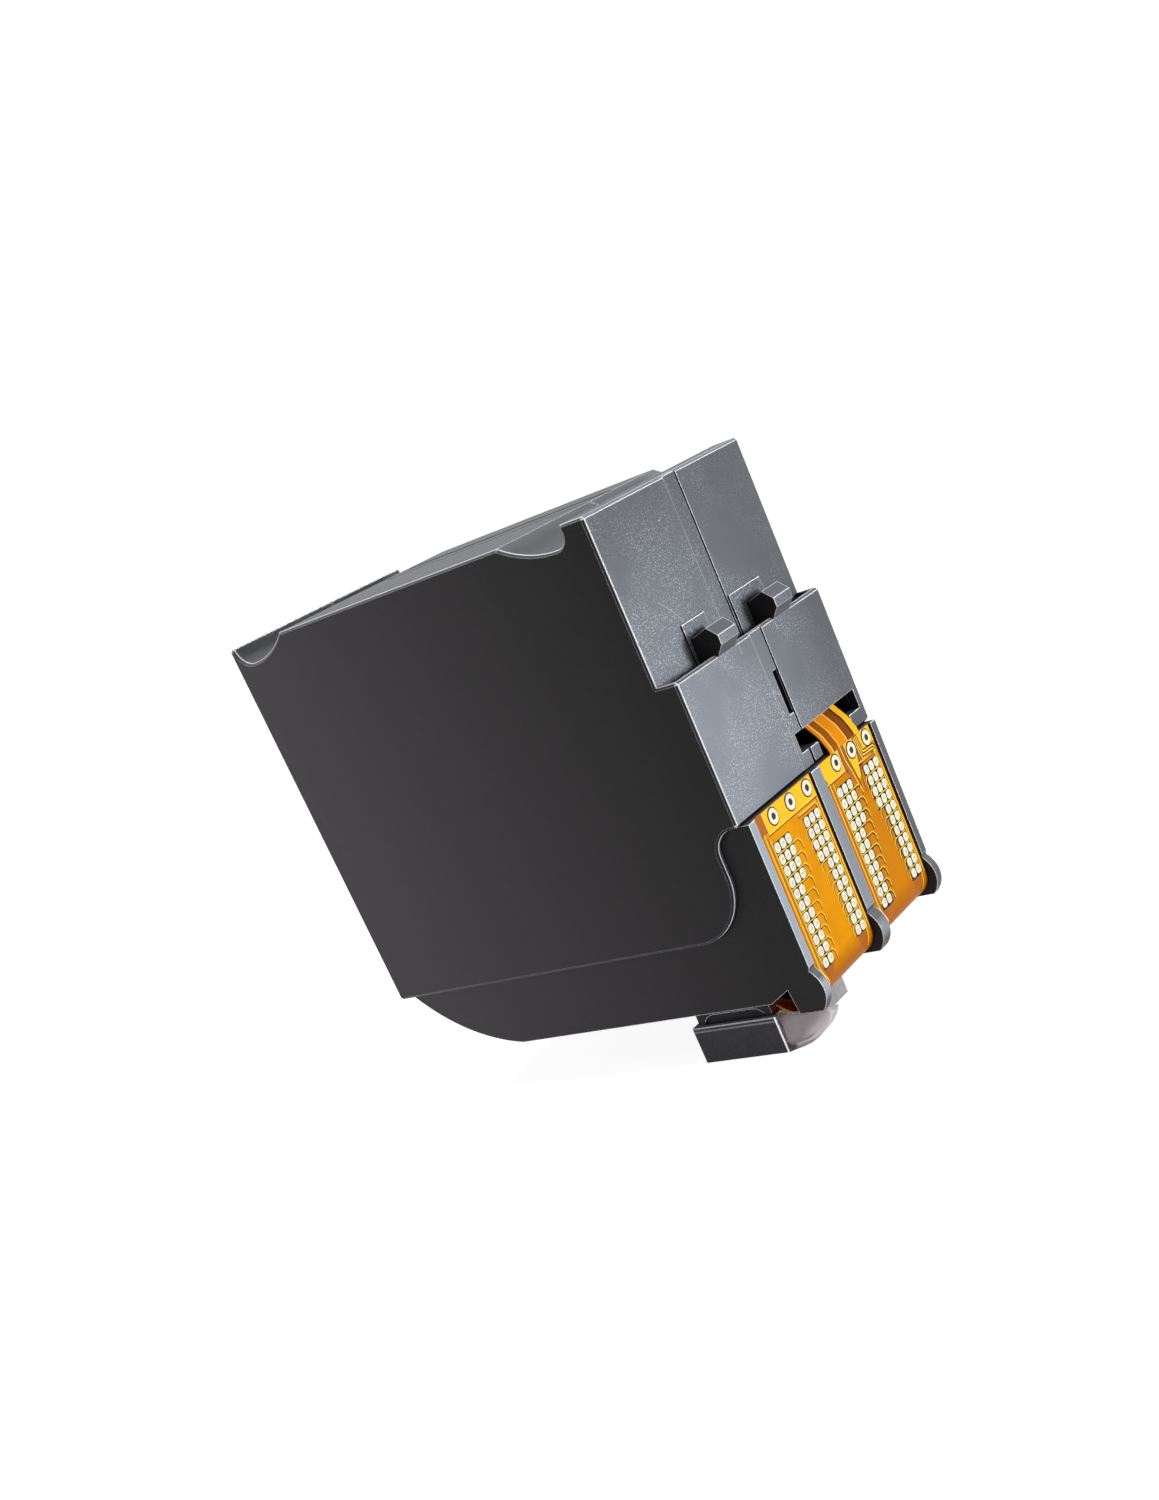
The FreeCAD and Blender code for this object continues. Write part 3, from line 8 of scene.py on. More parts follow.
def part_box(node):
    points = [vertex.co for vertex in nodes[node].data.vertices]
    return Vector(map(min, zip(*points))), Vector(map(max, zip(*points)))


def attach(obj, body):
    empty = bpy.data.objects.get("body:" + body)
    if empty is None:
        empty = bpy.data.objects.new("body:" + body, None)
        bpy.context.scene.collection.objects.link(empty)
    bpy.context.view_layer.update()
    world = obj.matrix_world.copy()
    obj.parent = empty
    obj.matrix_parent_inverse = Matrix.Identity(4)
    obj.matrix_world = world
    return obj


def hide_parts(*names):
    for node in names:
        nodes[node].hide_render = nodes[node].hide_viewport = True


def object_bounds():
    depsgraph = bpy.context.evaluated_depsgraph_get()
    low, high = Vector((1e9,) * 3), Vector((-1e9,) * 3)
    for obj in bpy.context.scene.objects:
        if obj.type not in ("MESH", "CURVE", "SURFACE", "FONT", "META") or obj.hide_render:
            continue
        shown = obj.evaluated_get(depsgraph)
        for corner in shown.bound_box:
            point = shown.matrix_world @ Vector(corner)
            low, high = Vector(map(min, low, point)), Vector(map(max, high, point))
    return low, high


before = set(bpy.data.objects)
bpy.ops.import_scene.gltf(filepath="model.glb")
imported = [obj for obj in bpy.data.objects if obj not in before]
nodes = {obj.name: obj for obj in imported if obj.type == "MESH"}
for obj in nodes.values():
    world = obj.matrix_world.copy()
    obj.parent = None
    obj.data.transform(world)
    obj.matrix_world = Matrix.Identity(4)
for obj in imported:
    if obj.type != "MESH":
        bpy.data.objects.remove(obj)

cad_low, cad_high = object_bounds()
MM = 0.001

# Places read from the solids, in metres
film_low, film_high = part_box("left_flex_circuit")
right_film_low, right_film_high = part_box("right_flex_circuit")
base_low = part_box("printhead_base")[0]
left_cap_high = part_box("left_nozzle_cap")[1]
right_cap_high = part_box("right_nozzle_cap")[1]
FILM_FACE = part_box("left_contact_pads")[1][1]
FILM_TOP = film_high[2]
UPPER_FACE = -cad_high[1]

# The lower front panel stands forward of the upper one
STEP_PROUD = 3.8 * MM
LOWER_FACE = UPPER_FACE - STEP_PROUD

# The film bends round the nose below this level
NOSE_LEVEL = 1.8 * MM
NOSE_RADIUS = 3.6 * MM

# Each printed layer lies this far in front of the one under it
PROUD = 0.012 * MM


# Shader helpers

def new_material(name):
    """A material with only its shader and output."""
    material = bpy.data.materials.new(name)
    material.use_nodes = True
    tree = material.node_tree
    return material, tree, tree.nodes["Principled BSDF"]


def node(tree, kind, inputs=None, **settings):
    """One node with its settings, and its inputs given as values or as links."""
    made = tree.nodes.new(kind)
    for name, value in settings.items():
        setattr(made, name, value)
    for name, value in (inputs or {}).items():
        if isinstance(value, bpy.types.NodeSocket):
            tree.links.new(value, made.inputs[name])
        else:
            made.inputs[name].default_value = value
    return made


def noise(tree, coordinates, scale, detail=2.0, roughness=0.5):
    made = node(tree, "ShaderNodeTexNoise", {"Vector": coordinates, "Scale": scale,
                                             "Detail": detail, "Roughness": roughness})
    return made.outputs["Fac"]


def between(tree, value, low, high, out_low=0.0, out_high=1.0):
    """A value taken from one range to another and held inside it."""
    made = node(tree, "ShaderNodeMapRange", {"Value": value, "From Min": low, "From Max": high,
                                             "To Min": out_low, "To Max": out_high})
    return made.outputs["Result"]


def maths(tree, operation, first, second=0.0):
    made = node(tree, "ShaderNodeMath", {0: first, 1: second}, operation=operation)
    return made.outputs[0]


def product(tree, *factors):
    """All the factors multiplied."""
    result = factors[0]
    for factor in factors[1:]:
        result = maths(tree, "MULTIPLY", result, factor)
    return result


def largest(tree, *values):
    result = values[0]
    for value in values[1:]:
        result = maths(tree, "MAXIMUM", result, value)
    return result


def line_at(tree, value, middle, full, faded):
    """1 within the full distance of the middle, and 0 beyond the faded one."""
    away = maths(tree, "ABSOLUTE", maths(tree, "SUBTRACT", value, middle))
    return between(tree, away, faded, full)


def blend_colour(tree, factor, first, second):
    made = node(tree, "ShaderNodeMix", data_type="RGBA")
    tree.links.new(factor, made.inputs[0])
    for place, value in ((6, first), (7, second)):
        if isinstance(value, bpy.types.NodeSocket):
            tree.links.new(value, made.inputs[place])
        else:
            made.inputs[place].default_value = (*value, 1.0)
    return made.outputs[2]


def blend_value(tree, factor, first, second):
    return node(tree, "ShaderNodeMix", {0: factor, 2: first, 3: second}).outputs[0]


def bump(tree, height, strength, distance):
    made = node(tree, "ShaderNodeBump", {"Height": height, "Strength": strength, "Distance": distance})
    return made.outputs["Normal"]


def linear(red, green, blue):
    """A colour given as the eye reads it on a screen, 0 to 255, in Blender's own values."""
    def channel(value):
        value = value / 255
        return value / 12.92 if value <= 0.04045 else ((value + 0.055) / 1.055) ** 2.4
    return channel(red), channel(green), channel(blue)


def dimmed(colour, share):
    return tuple(value * share for value in colour)


def place_of(tree):
    """Object coordinates, and their three parts."""
    place = node(tree, "ShaderNodeTexCoord").outputs["Object"]
    parts = node(tree, "ShaderNodeSeparateXYZ", {0: place})
    return place, parts.outputs[0], parts.outputs[1], parts.outputs[2]


def facing_of(tree):
    """The three parts of the way a face looks: right, back and up."""
    normal = node(tree, "ShaderNodeNewGeometry").outputs["Normal"]
    return node(tree, "ShaderNodeSeparateXYZ", {0: normal}).outputs


def openness(tree, reach):
    """1 in the open and less in a corner, within the reach."""
    return node(tree, "ShaderNodeAmbientOcclusion", {"Distance": reach}, samples=4).outputs["AO"]


def edge_highlights(tree, breadth):
    """1 along the outer edges that face up or to the left, where a highlight is painted; less on others."""
    true_normal = node(tree, "ShaderNodeNewGeometry").outputs["Normal"]
    soft = node(tree, "ShaderNodeBevel", {"Radius": breadth}, samples=4).outputs["Normal"]
    alike = node(tree, "ShaderNodeVectorMath", {0: true_normal, 1: soft}, operation="DOT_PRODUCT")
    turned = between(tree, alike.outputs["Value"], 0.999, 0.975)
    outer = between(tree, openness(tree, breadth * 3), 0.75, 0.9)
    turns = node(tree, "ShaderNodeSeparateXYZ", {0: soft}).outputs
    leftward = between(tree, turns[0], -0.1, -0.4)
    upward = between(tree, turns[2], 0.1, 0.4)
    off_the_side = between(tree, turns[0], -0.92, -0.75, 0.1, 1.0)
    weight = between(tree, largest(tree, leftward, upward), 0.0, 1.0, 0.3, 1.0)
    return product(tree, turned, outer, weight, off_the_side)


# Simple materials

def moulded(name, colour, grain, grain_depth, roughness, specular, variation=0.9):
    """A moulded plastic with a fine texture and slight changes of tone."""
    material, tree, shader = new_material(name)
    place = place_of(tree)[0]
    fine = noise(tree, place, grain, 3.0, 0.6)
    tone = between(tree, noise(tree, place, 90.0), 0.3, 0.7)
    tree.links.new(blend_colour(tree, tone, dimmed(colour, variation), colour), shader.inputs["Base Color"])
    rough = between(tree, fine, 0.3, 0.7, roughness - 0.08, roughness + 0.08)
    tree.links.new(rough, shader.inputs["Roughness"])
    tree.links.new(bump(tree, fine, grain_depth, 0.2 * MM), shader.inputs["Normal"])
    shader.inputs["Specular IOR Level"].default_value = specular
    return material


def printed(name, colour, roughness=0.4, specular=0.15, variation=0.92):
    """Copper and ink seen through the film: smooth and nearly matt."""
    return moulded(name, colour, 600.0, 0.05, roughness, specular, variation)


def metal(name, colour, roughness, grain):
    """A metal with faint rolling marks in its gloss."""
    material, tree, shader = new_material(name)
    marks = noise(tree, place_of(tree)[0], grain)
    tree.links.new(blend_colour(tree, marks, dimmed(colour, 0.85), colour), shader.inputs["Base Color"])
    rough = between(tree, marks, 0.3, 0.7, roughness - 0.05, roughness + 0.08)
    tree.links.new(rough, shader.inputs["Roughness"])
    shader.inputs["Metallic"].default_value = 1.0
    return material


def plated(name, colour):
    """Pale plating with a fine mottle."""
    material, tree, shader = new_material(name)
    place = place_of(tree)[0]
    mottle = between(tree, noise(tree, place, 1800.0, 2.0), 0.4, 0.65)
    tree.links.new(blend_colour(tree, mottle, colour, dimmed(colour, 0.85)), shader.inputs["Base Color"])
    tree.links.new(between(tree, mottle, 0.0, 1.0, 0.32, 0.42), shader.inputs["Roughness"])
    tree.links.new(bump(tree, mottle, 0.4, 0.1 * MM), shader.inputs["Normal"])
    shader.inputs["Specular IOR Level"].default_value = 0.3
    return material


# The dark plastic of the case and the base

FRONT_GREY = linear(82, 84, 89)
# The side at its most lit; painted shade darkens it towards the front
SIDE_LIT_GREY = linear(98, 94, 98)
# Painted highlight on the edges
EDGE_HIGHLIGHT_WHITE = linear(240, 242, 246)
# Painted light on the front faces
PAINTED_LIGHT_GREY = linear(168, 178, 190)
# Painted light on the faces that look up
UPWARD_LIGHT_GREY = linear(168, 170, 176)
# Painted glints
GLINT_WHITE = linear(215, 222, 230)
# Painted shade lines on the top
SHADE_LINE_BLACK = linear(26, 26, 28)
# Painted shade in recesses
RECESS_SHADE_BLACK = (0.002, 0.002, 0.002)

# Two dark lines of painted shade, where a seam and a rim edge would be shaded, run along the case's top, this
# far right of its middle, and end this far from its middle
SEAM_LINE = 3.0 * MM
RIM_LINE = 9.5 * MM
TOP_LINE_END = 24.0 * MM


def side_light_and_shade(tree, along, up):
    """Painted light and shade on the side: nearly black at the front, and lighter to the back and to the
    bottom.
    """
    backward = between(tree, along, -40.0 * MM, 42.0 * MM)
    downward = between(tree, up, 75.0 * MM, 0.0, 0.0, 0.18)
    lit = maths(tree, "ADD", backward, downward)
    return blend_colour(tree, lit, dimmed(SIDE_LIT_GREY, 0.12), SIDE_LIT_GREY)


def painted_light_share(tree, across, up, front):
    """Painted light on the front faces: more to the left and lower down."""
    leftward = between(tree, across, 18.0 * MM, -14.0 * MM)
    lower = between(tree, up, 75.0 * MM, 45.0 * MM, 0.1, 1.0)
    return product(tree, leftward, lower, front)


def upward_light_share(tree, along, up, upward):
    """Painted light on faces that look up: most on the case's top, and more to the back."""
    on_top = between(tree, up, 73.0 * MM, 74.5 * MM, 0.0, 0.3)
    backward = between(tree, along, 0.0, 35.0 * MM, 0.22, 0.32)
    return product(tree, between(tree, upward, 0.2, 0.6), maths(tree, "ADD", on_top, backward))


def top_shade_lines(tree, across, along, upward):
    """The two dark lines of painted shade along the case's flat top."""
    flat = between(tree, upward, 0.9, 0.99)
    inside = between(tree, maths(tree, "ABSOLUTE", along), TOP_LINE_END + 1.0 * MM, TOP_LINE_END)
    seam_line = line_at(tree, across, SEAM_LINE, 0.5 * MM, 0.7 * MM)
    rim_line = line_at(tree, across, RIM_LINE, 0.7 * MM, 0.9 * MM)
    return product(tree, flat, inside, largest(tree, seam_line, rim_line))


def glint_share(tree, place, front, painted_light):
    """Painted glints: fine bright spots in patches of the front faces, denser where more light is painted."""
    patches = between(tree, noise(tree, place, 90.0), 0.4, 0.62)
    denser = between(tree, painted_light, 0.0, 0.5, 0.35, 1.0)
    spots = between(tree, noise(tree, place, 4200.0, 1.0), 0.52, 0.72)
    return product(tree, spots, front, patches, denser)


def bevel_highlights(tree, across, facing, outer_face):
    """Painted highlight on the bevels that look to the left and also forward or up, without their outermost
    part.
    """
    leftward = between(tree, facing[0], -0.15, -0.35)
    forward = between(tree, facing[1], -0.15, -0.35)
    upward = between(tree, facing[2], 0.15, 0.35)
    inner_part = between(tree, across, outer_face + 0.25 * MM, outer_face + 0.35 * MM, 0.0, 0.85)
    return product(tree, leftward, largest(tree, forward, upward), inner_part)


def textured_plastic(name, glints, painted_light_strength, outer_face):
    """The dark moulded plastic: fine texture, painted glints on the front faces, painted highlights on the
    edges, painted light and shade on the front, side and top, and painted shade in recesses.
    """
    material, tree, shader = new_material(name)
    place, across, along, up = place_of(tree)
    facing = facing_of(tree)
    front = between(tree, facing[1], -0.9, -0.99)
    beside = between(tree, maths(tree, "ABSOLUTE", facing[0]), 0.6, 0.7)
    tone = between(tree, noise(tree, place, 60.0, 3.0), 0.3, 0.7)
    painted_light = painted_light_share(tree, across, up, front)
    shade_line = top_shade_lines(tree, across, along, facing[2])
    body = blend_colour(tree, tone, dimmed(FRONT_GREY, 0.92), FRONT_GREY)
    # The faces that look sideways take the side's painted light and shade
    body = blend_colour(tree, beside, body, side_light_and_shade(tree, along, up))
    # Painted light on the front faces, stronger to the left and lower down
    body = blend_colour(tree, product(tree, painted_light, painted_light_strength), body, PAINTED_LIGHT_GREY)
    # Painted light on the faces that look up
    body = blend_colour(tree, upward_light_share(tree, along, up, facing[2]), body, UPWARD_LIGHT_GREY)
    # Painted shade along the seam and rim lines on the top
    body = blend_colour(tree, shade_line, body, SHADE_LINE_BLACK)
    # Painted glints on the front faces
    glinting = product(tree, glint_share(tree, place, front, painted_light), glints)
    body = blend_colour(tree, glinting, body, GLINT_WHITE)
    # Painted shade darkens corners and recesses
    body = blend_colour(tree, between(tree, openness(tree, 2.5 * MM), 0.2, 0.55), RECESS_SHADE_BLACK, body)
    # Painted highlights on the edges, white and metallic so that they reflect the white surroundings
    edge = largest(tree, edge_highlights(tree, 0.24 * MM), bevel_highlights(tree, across, facing, outer_face))
    fine = noise(tree, place, 3400.0, 3.0, 0.6)
    tree.links.new(blend_colour(tree, edge, body, EDGE_HIGHLIGHT_WHITE), shader.inputs["Base Color"])
    tree.links.new(product(tree, edge, 0.8), shader.inputs["Metallic"])
    tree.links.new(between(tree, fine, 0.3, 0.7, 0.46, 0.6), shader.inputs["Roughness"])
    tree.links.new(bump(tree, fine, 0.35, 0.2 * MM), shader.inputs["Normal"])
    # The painted shade lines have no gloss
    tree.links.new(between(tree, shade_line, 0.0, 1.0, 0.15, 0.0), shader.inputs["Specular IOR Level"])
    return material


# The amber film

# Stripes of the circuit's tail from left to right: where each starts as a share of the width, and its colour
TAIL_STRIPES = [
    (0.00, (214, 132, 22)), (0.08, (250, 205, 90)), (0.11, (150, 78, 18)), (0.29, (246, 190, 60)),
    (0.32, (222, 136, 20)), (0.57, (248, 200, 80)), (0.60, (128, 66, 16)), (0.80, (58, 30, 10)),
    (0.84, (244, 184, 30)),
]
TAIL_RIGHT = right_film_high[0] - 3.25 * MM
TAIL_LEFT = TAIL_RIGHT - 9.8 * MM


def tail_colour(tree, across):
    """The printed stripes of the right circuit's tail."""
    ramp = node(tree, "ShaderNodeValToRGB", {0: between(tree, across, TAIL_LEFT, TAIL_RIGHT)})
    ramp.color_ramp.interpolation = "CONSTANT"
    steps = ramp.color_ramp.elements
    while len(steps) < len(TAIL_STRIPES):
        steps.new(0.5)
    for step, (start, colour) in zip(steps, TAIL_STRIPES):
        step.position = start
        step.color = (*linear(*colour), 1.0)
    return ramp.outputs[0]


def amber_film(name):
    """The amber film: smooth and glossy, striped along the tail, with painted shade that darkens the right
    circuit and the film round the nose, and makes it darker and redder under the base.
    """
    material, tree, shader = new_material(name)
    place, across, along, up = place_of(tree)
    cloud = between(tree, noise(tree, place, 260.0, 3.0), 0.3, 0.7)
    right_circuit_shade = between(tree, across, -1.0 * MM, 1.0 * MM)
    nose_shade = between(tree, up, 3.5 * MM, 0.5 * MM)
    under_base_shade = between(tree, along, -42.5 * MM, -40.5 * MM)
    colour = blend_colour(tree, cloud, linear(214, 138, 0), linear(226, 152, 0))
    # Painted shade on the right circuit, round the nose and under the base
    colour = blend_colour(tree, product(tree, right_circuit_shade, 0.65), colour, linear(182, 106, 0))
    colour = blend_colour(tree, nose_shade, colour, linear(172, 96, 0))
    colour = blend_colour(tree, under_base_shade, colour, linear(120, 38, 0))
    on_tail = between(tree, up, FILM_TOP, FILM_TOP + 0.05 * MM)
    colour = blend_colour(tree, on_tail, colour, tail_colour(tree, across))
    tree.links.new(colour, shader.inputs["Base Color"])
    tree.links.new(between(tree, cloud, 0.0, 1.0, 0.32, 0.4), shader.inputs["Roughness"])
    shader.inputs["IOR"].default_value = 1.3
    shader.inputs["Specular IOR Level"].default_value = 0.08
    return material


# The clear caps

TRAY_LENGTH = 16.5 * MM
CAP_RIM = left_cap_high[2]
# The white of the cap's painted highlights
CAP_HIGHLIGHT_WHITE = linear(244, 243, 246)


def clear_plastic(name):
    """Cap plastic: a smoky clear tray over the dark snout, painted highlights on the rims, the bead lines and
    the tray's front corner, and a frosted pull tab with painted light and shade on its faces.
    """
    material, tree, shader = new_material(name)
    place, across, along, up = place_of(tree)
    tray_front = between(tree, across, -0.2 * MM, 0.2 * MM,
                         left_cap_high[1] - TRAY_LENGTH, right_cap_high[1] - TRAY_LENGTH)
    ahead = maths(tree, "SUBTRACT", tray_front, along)
    tab = between(tree, ahead, 0.0, 0.1 * MM)
    sideways = between(tree, maths(tree, "ABSOLUTE", facing_of(tree)[0]), 0.85, 0.95)
    haze = noise(tree, place, 900.0, 3.0, 0.6)
    speckle = between(tree, haze, 0.4, 0.62)

    # Lit and shaded copies of the cap's colour: the tab's band painted lighter and its web, which looks
    # sideways, painted darker; the tray's sideways faces a little lighter
    band_lit_colour = blend_colour(tree, speckle, linear(214, 211, 211), linear(236, 235, 236))
    web_shaded_colour = blend_colour(tree, speckle, linear(196, 188, 192), linear(204, 196, 200))
    tab_colour = blend_colour(tree, sideways, band_lit_colour, web_shaded_colour)
    tray_colour = blend_colour(tree, sideways, linear(96, 93, 98), linear(104, 101, 107))
    colour = blend_colour(tree, tab, tray_colour, tab_colour)

    # Painted highlights along the rim's two bead lines, the rim's edges and the tray's front corner
    upper_bead_highlight = line_at(tree, up, CAP_RIM - 0.1 * MM, 0.1 * MM, 0.2 * MM)
    lower_bead_highlight = line_at(tree, up, CAP_RIM - 0.75 * MM, 0.1 * MM, 0.18 * MM)
    bead_highlights = largest(tree, upper_bead_highlight, product(tree, lower_bead_highlight, 0.6))
    bead_highlights = product(tree, bead_highlights, between(tree, tab, 0.0, 1.0, 0.6, 0.0))
    rim = edge_highlights(tree, 0.25 * MM)
    tray_corner_highlight = line_at(tree, ahead, -0.2 * MM, 0.16 * MM, 0.22 * MM)
    bright = largest(tree, product(tree, rim, 0.8), tray_corner_highlight, bead_highlights)
    tree.links.new(blend_colour(tree, bright, colour, CAP_HIGHLIGHT_WHITE), shader.inputs["Base Color"])

    tray_rough = between(tree, haze, 0.3, 0.7, 0.26, 0.29)
    tab_rough = between(tree, haze, 0.3, 0.7, 0.35, 0.5)
    tree.links.new(blend_value(tree, tab, tray_rough, tab_rough), shader.inputs["Roughness"])
    # Metallic on the painted highlights gives them a painted reflection
    gleam = largest(tree, product(tree, tray_corner_highlight, 0.8), product(tree, bead_highlights, 0.5))
    tree.links.new(product(tree, gleam, sideways), shader.inputs["Metallic"])
    clear = blend_value(tree, tab, 0.25, between(tree, sideways, 0.0, 1.0, 0.6, 0.85))
    clear = product(tree, clear, between(tree, rim, 0.0, 1.0, 1.0, 0.7))
    clear = largest(tree, clear, product(tree, tray_corner_highlight, 0.9))
    tree.links.new(clear, shader.inputs["Transmission Weight"])
    shader.inputs["IOR"].default_value = 1.2
    return material


looks = {
    "case_plastic": textured_plastic("case_plastic", 0.6, 0.42, cad_low[0]),
    "base_plastic": textured_plastic("base_plastic", 0.25, 0.75, base_low[0]),
    "polyimide_film": amber_film("polyimide_film"),
    "gold_plating": plated("gold_plating", linear(238, 232, 208)),
    # Darker plating in the pressed dimples
    "dimple_plating": plated("dimple_plating", linear(214, 207, 184)),
    "silicon": metal("silicon", linear(120, 120, 130), 0.2, 500.0),
    "nozzle_metal": metal("nozzle_metal", linear(214, 180, 110), 0.25, 800.0),
    "encapsulant_resin": moulded("encapsulant_resin", linear(20, 20, 22), 800.0, 0.1, 0.25, 0.5),
    "filter_mesh": metal("filter_mesh", linear(170, 170, 172), 0.35, 2500.0),
    "clear_cap_plastic": clear_plastic("clear_cap_plastic"),
    "seal_rubber": moulded("seal_rubber", linear(40, 40, 42), 1500.0, 0.2, 0.6, 0.3),
    "inner_plastic": moulded("inner_plastic", linear(70, 70, 69), 1500.0, 0.2, 0.45, 0.5),
    "bag_foil": metal("bag_foil", linear(188, 190, 194), 0.3, 300.0),
    "spring_steel": metal("spring_steel", linear(190, 192, 196), 0.28, 900.0),
    "board_laminate": moulded("board_laminate", linear(28, 92, 52), 1500.0, 0.2, 0.4, 0.5),
    "chip_plastic": moulded("chip_plastic", linear(24, 24, 26), 2500.0, 0.3, 0.5, 0.4),
    "print_yellow": printed("print_yellow", linear(246, 190, 4)),
    "print_light": printed("print_light", linear(250, 208, 60)),
    "print_brown": printed("print_brown", linear(170, 92, 6)),
    # Dark print, and the painted shadow round the pads
    "dark_print_and_shadow": printed("dark_print_and_shadow", linear(58, 28, 8)),
    # Painted shade on the faces of the film's bow
    "film_shade": printed("film_shade", linear(214, 84, 6), 0.5, 0.05, 0.8),
    "film_edge": printed("film_edge", linear(250, 168, 20)),
    "scratch_grey": moulded("scratch_grey", linear(176, 180, 186), 2000.0, 0.2, 0.4, 0.5),
}

for thing in nodes.values():
    slot_name = thing.data.materials[0].name.split(".")[0]
    thing.data.materials.clear()
    thing.data.materials.append(looks[slot_name])


# Flat shapes as lists of polygons, in millimetres: across from the film's left edge, and height

def ribbon(points, width):
    """The outline of a line of one width through the points."""
    spots = [Vector(point) for point in points]
    left = []
    right = []
    for index, spot in enumerate(spots):
        before = spots[max(index - 1, 0)]
        after = spots[min(index + 1, len(spots) - 1)]
        into = (spot - before).normalized() if index > 0 else (after - spot).normalized()
        out = (after - spot).normalized() if index < len(spots) - 1 else into
        along = (into + out).normalized()
        side = Vector((-along.y, along.x))
        reach = width / 2 / max(along.dot(into), 0.5)
        left.append(spot + side * reach)
        right.append(spot - side * reach)
    return [[left[i], right[i], right[i + 1], left[i + 1]] for i in range(len(spots) - 1)]


def lines(paths, width):
    shapes = []
    for path in paths:
        shapes += ribbon(path, width)
    return shapes


def disc_shape(centre, radius, sides=32, narrow=1.0):
    """A disc, or an upright oval where narrow is under 1."""
    turns = [2 * math.pi * i / sides for i in range(sides)]
    return [[Vector((centre[0] + radius * math.cos(turn) * narrow, centre[1] + radius * math.sin(turn)))
             for turn in turns]]


def box_shape(left, bottom, right, top):
    return shape((left, bottom), (right, bottom), (right, top), (left, top))


def shape(*points):
    return [[Vector(point) for point in points]]


# Pieces of the scene

def add_piece(name, work, slot, *piece_looks):
    """A piece made in mesh code, which rides the one body."""
    mesh = bpy.data.meshes.new(name)
    work.to_mesh(mesh)
    work.free()
    for look in piece_looks:
        mesh.materials.append(looks[look])
    made = bpy.data.objects.new(name, mesh)
    bpy.context.scene.collection.objects.link(made)
    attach(made, "root")
    return made


NOSE_CUTS = 9
NOSE_CUT_STEP = 0.5 * MM


def print_on(name, look, slot, shapes, origin, face, layer, around_nose=False):
    """Lays flat shapes on a front face, and round the nose where they reach that low."""
    work = bmesh.new()
    for polygon in shapes:
        corners = [work.verts.new((point.x * MM, 0.0, point.y * MM)) for point in polygon]
        work.faces.new(corners)
    if around_nose:
        for cut in range(NOSE_CUTS):
            level = NOSE_LEVEL - cut * NOSE_CUT_STEP
            everything = work.verts[:] + work.edges[:] + work.faces[:]
            bmesh.ops.bisect_plane(work, geom=everything, plane_co=(0, 0, level), plane_no=(0, 0, 1))
    proud = PROUD * layer
    for vertex in work.verts:
        vertex.co.x += origin
        if around_nose and vertex.co.z < NOSE_LEVEL:
            turn = (NOSE_LEVEL - vertex.co.z) / NOSE_RADIUS
            reach = NOSE_RADIUS + proud
            vertex.co.y = face + NOSE_RADIUS - reach * math.cos(turn)
            vertex.co.z = NOSE_LEVEL - reach * math.sin(turn)
        else:
            vertex.co.y = face - proud
    work.normal_update()
    for polygon in work.faces:
        if polygon.normal.y > 0:
            polygon.normal_flip()
    add_piece(name, work, slot, look)


# The contact pads: their columns, rows and half sizes, in millimetres

ROW_PITCH = 1.94
ROWS = [22.8 - ROW_PITCH * row for row in range(11)]
WIDE_ROWS = 4
LEFT_COLUMNS = (2.85, 4.55, 6.25)
RIGHT_COLUMNS = (15.65, 13.95, 12.25)
PAD_HALF = (0.77, 0.78)
PAD_TRIM = 0.03
PAD_SIDES = 20
PAD_SQUARENESS = 0.66
DIMPLE_WANDER = 0.05
DIMPLE_TURN = 2.4

# A pad's rings from its back to its dimple: share of the outline, and share of the thickness
PAD_RINGS = [(1.0, 0.0), (0.98, 0.7), (0.86, 1.0), (0.42, 1.0), (0.3, 0.55)]


def pad_places():
    """Each pad's middle: three columns in the upper rows and the two outer ones below."""
    places = []
    for row, level in enumerate(ROWS):
        count = 3 if row < WIDE_ROWS else 2
        for columns in (LEFT_COLUMNS, RIGHT_COLUMNS):
            places += [(column, level) for column in columns[:count]]
    return places


def squared(value):
    """Takes a circle's cosine or sine towards the side of its square."""
    return math.copysign(abs(value) ** PAD_SQUARENESS, value)


def rounded_pads(name, origin, node_name):
    """The pads as they are plated: rounded, a little domed, with a pressed dimple in darker plating."""
    low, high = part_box(node_name)
    work = bmesh.new()
    for number, (column, level) in enumerate(pad_places()):
        wander = DIMPLE_WANDER * math.sin(number * DIMPLE_TURN)
        loops = []
        for share, rise in PAD_RINGS:
            loop = []
            for step in range(PAD_SIDES):
                turn = 2 * math.pi * step / PAD_SIDES
                across = squared(math.cos(turn)) * (PAD_HALF[0] - PAD_TRIM) * share
                up = squared(math.sin(turn)) * PAD_HALF[1] * share
                place = (origin + (column + across + wander * (1 - share)) * MM,
                         high[1] + (low[1] - high[1]) * rise, (level + up) * MM)
                loop.append(work.verts.new(place))
            loops.append(loop)
        for outer, inner in zip(loops, loops[1:]):
            for step in range(PAD_SIDES):
                following = (step + 1) % PAD_SIDES
                wall = work.faces.new((outer[step], outer[following], inner[following], inner[step]))
                wall.material_index = 1 if inner is loops[-1] else 0
        work.faces.new(loops[-1]).material_index = 1
        work.faces.new(loops[0][::-1])
    bmesh.ops.recalc_face_normals(work, faces=work.faces[:])
    made = add_piece(name, work, "gold_plating", "gold_plating", "dimple_plating")
    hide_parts(node_name)


# The printed pattern on the film, in millimetres from the film's left edge

RINGS = (4.9, 10.25, 15.6)
RING_LEVEL = 27.1
RING_GROUND = 1.48
RING_HOLE = 0.66
RING_HOLE_NARROW = 0.55
BAND_TOP = FILM_TOP / MM - 0.05
LIGHT_SHIFT = 0.2

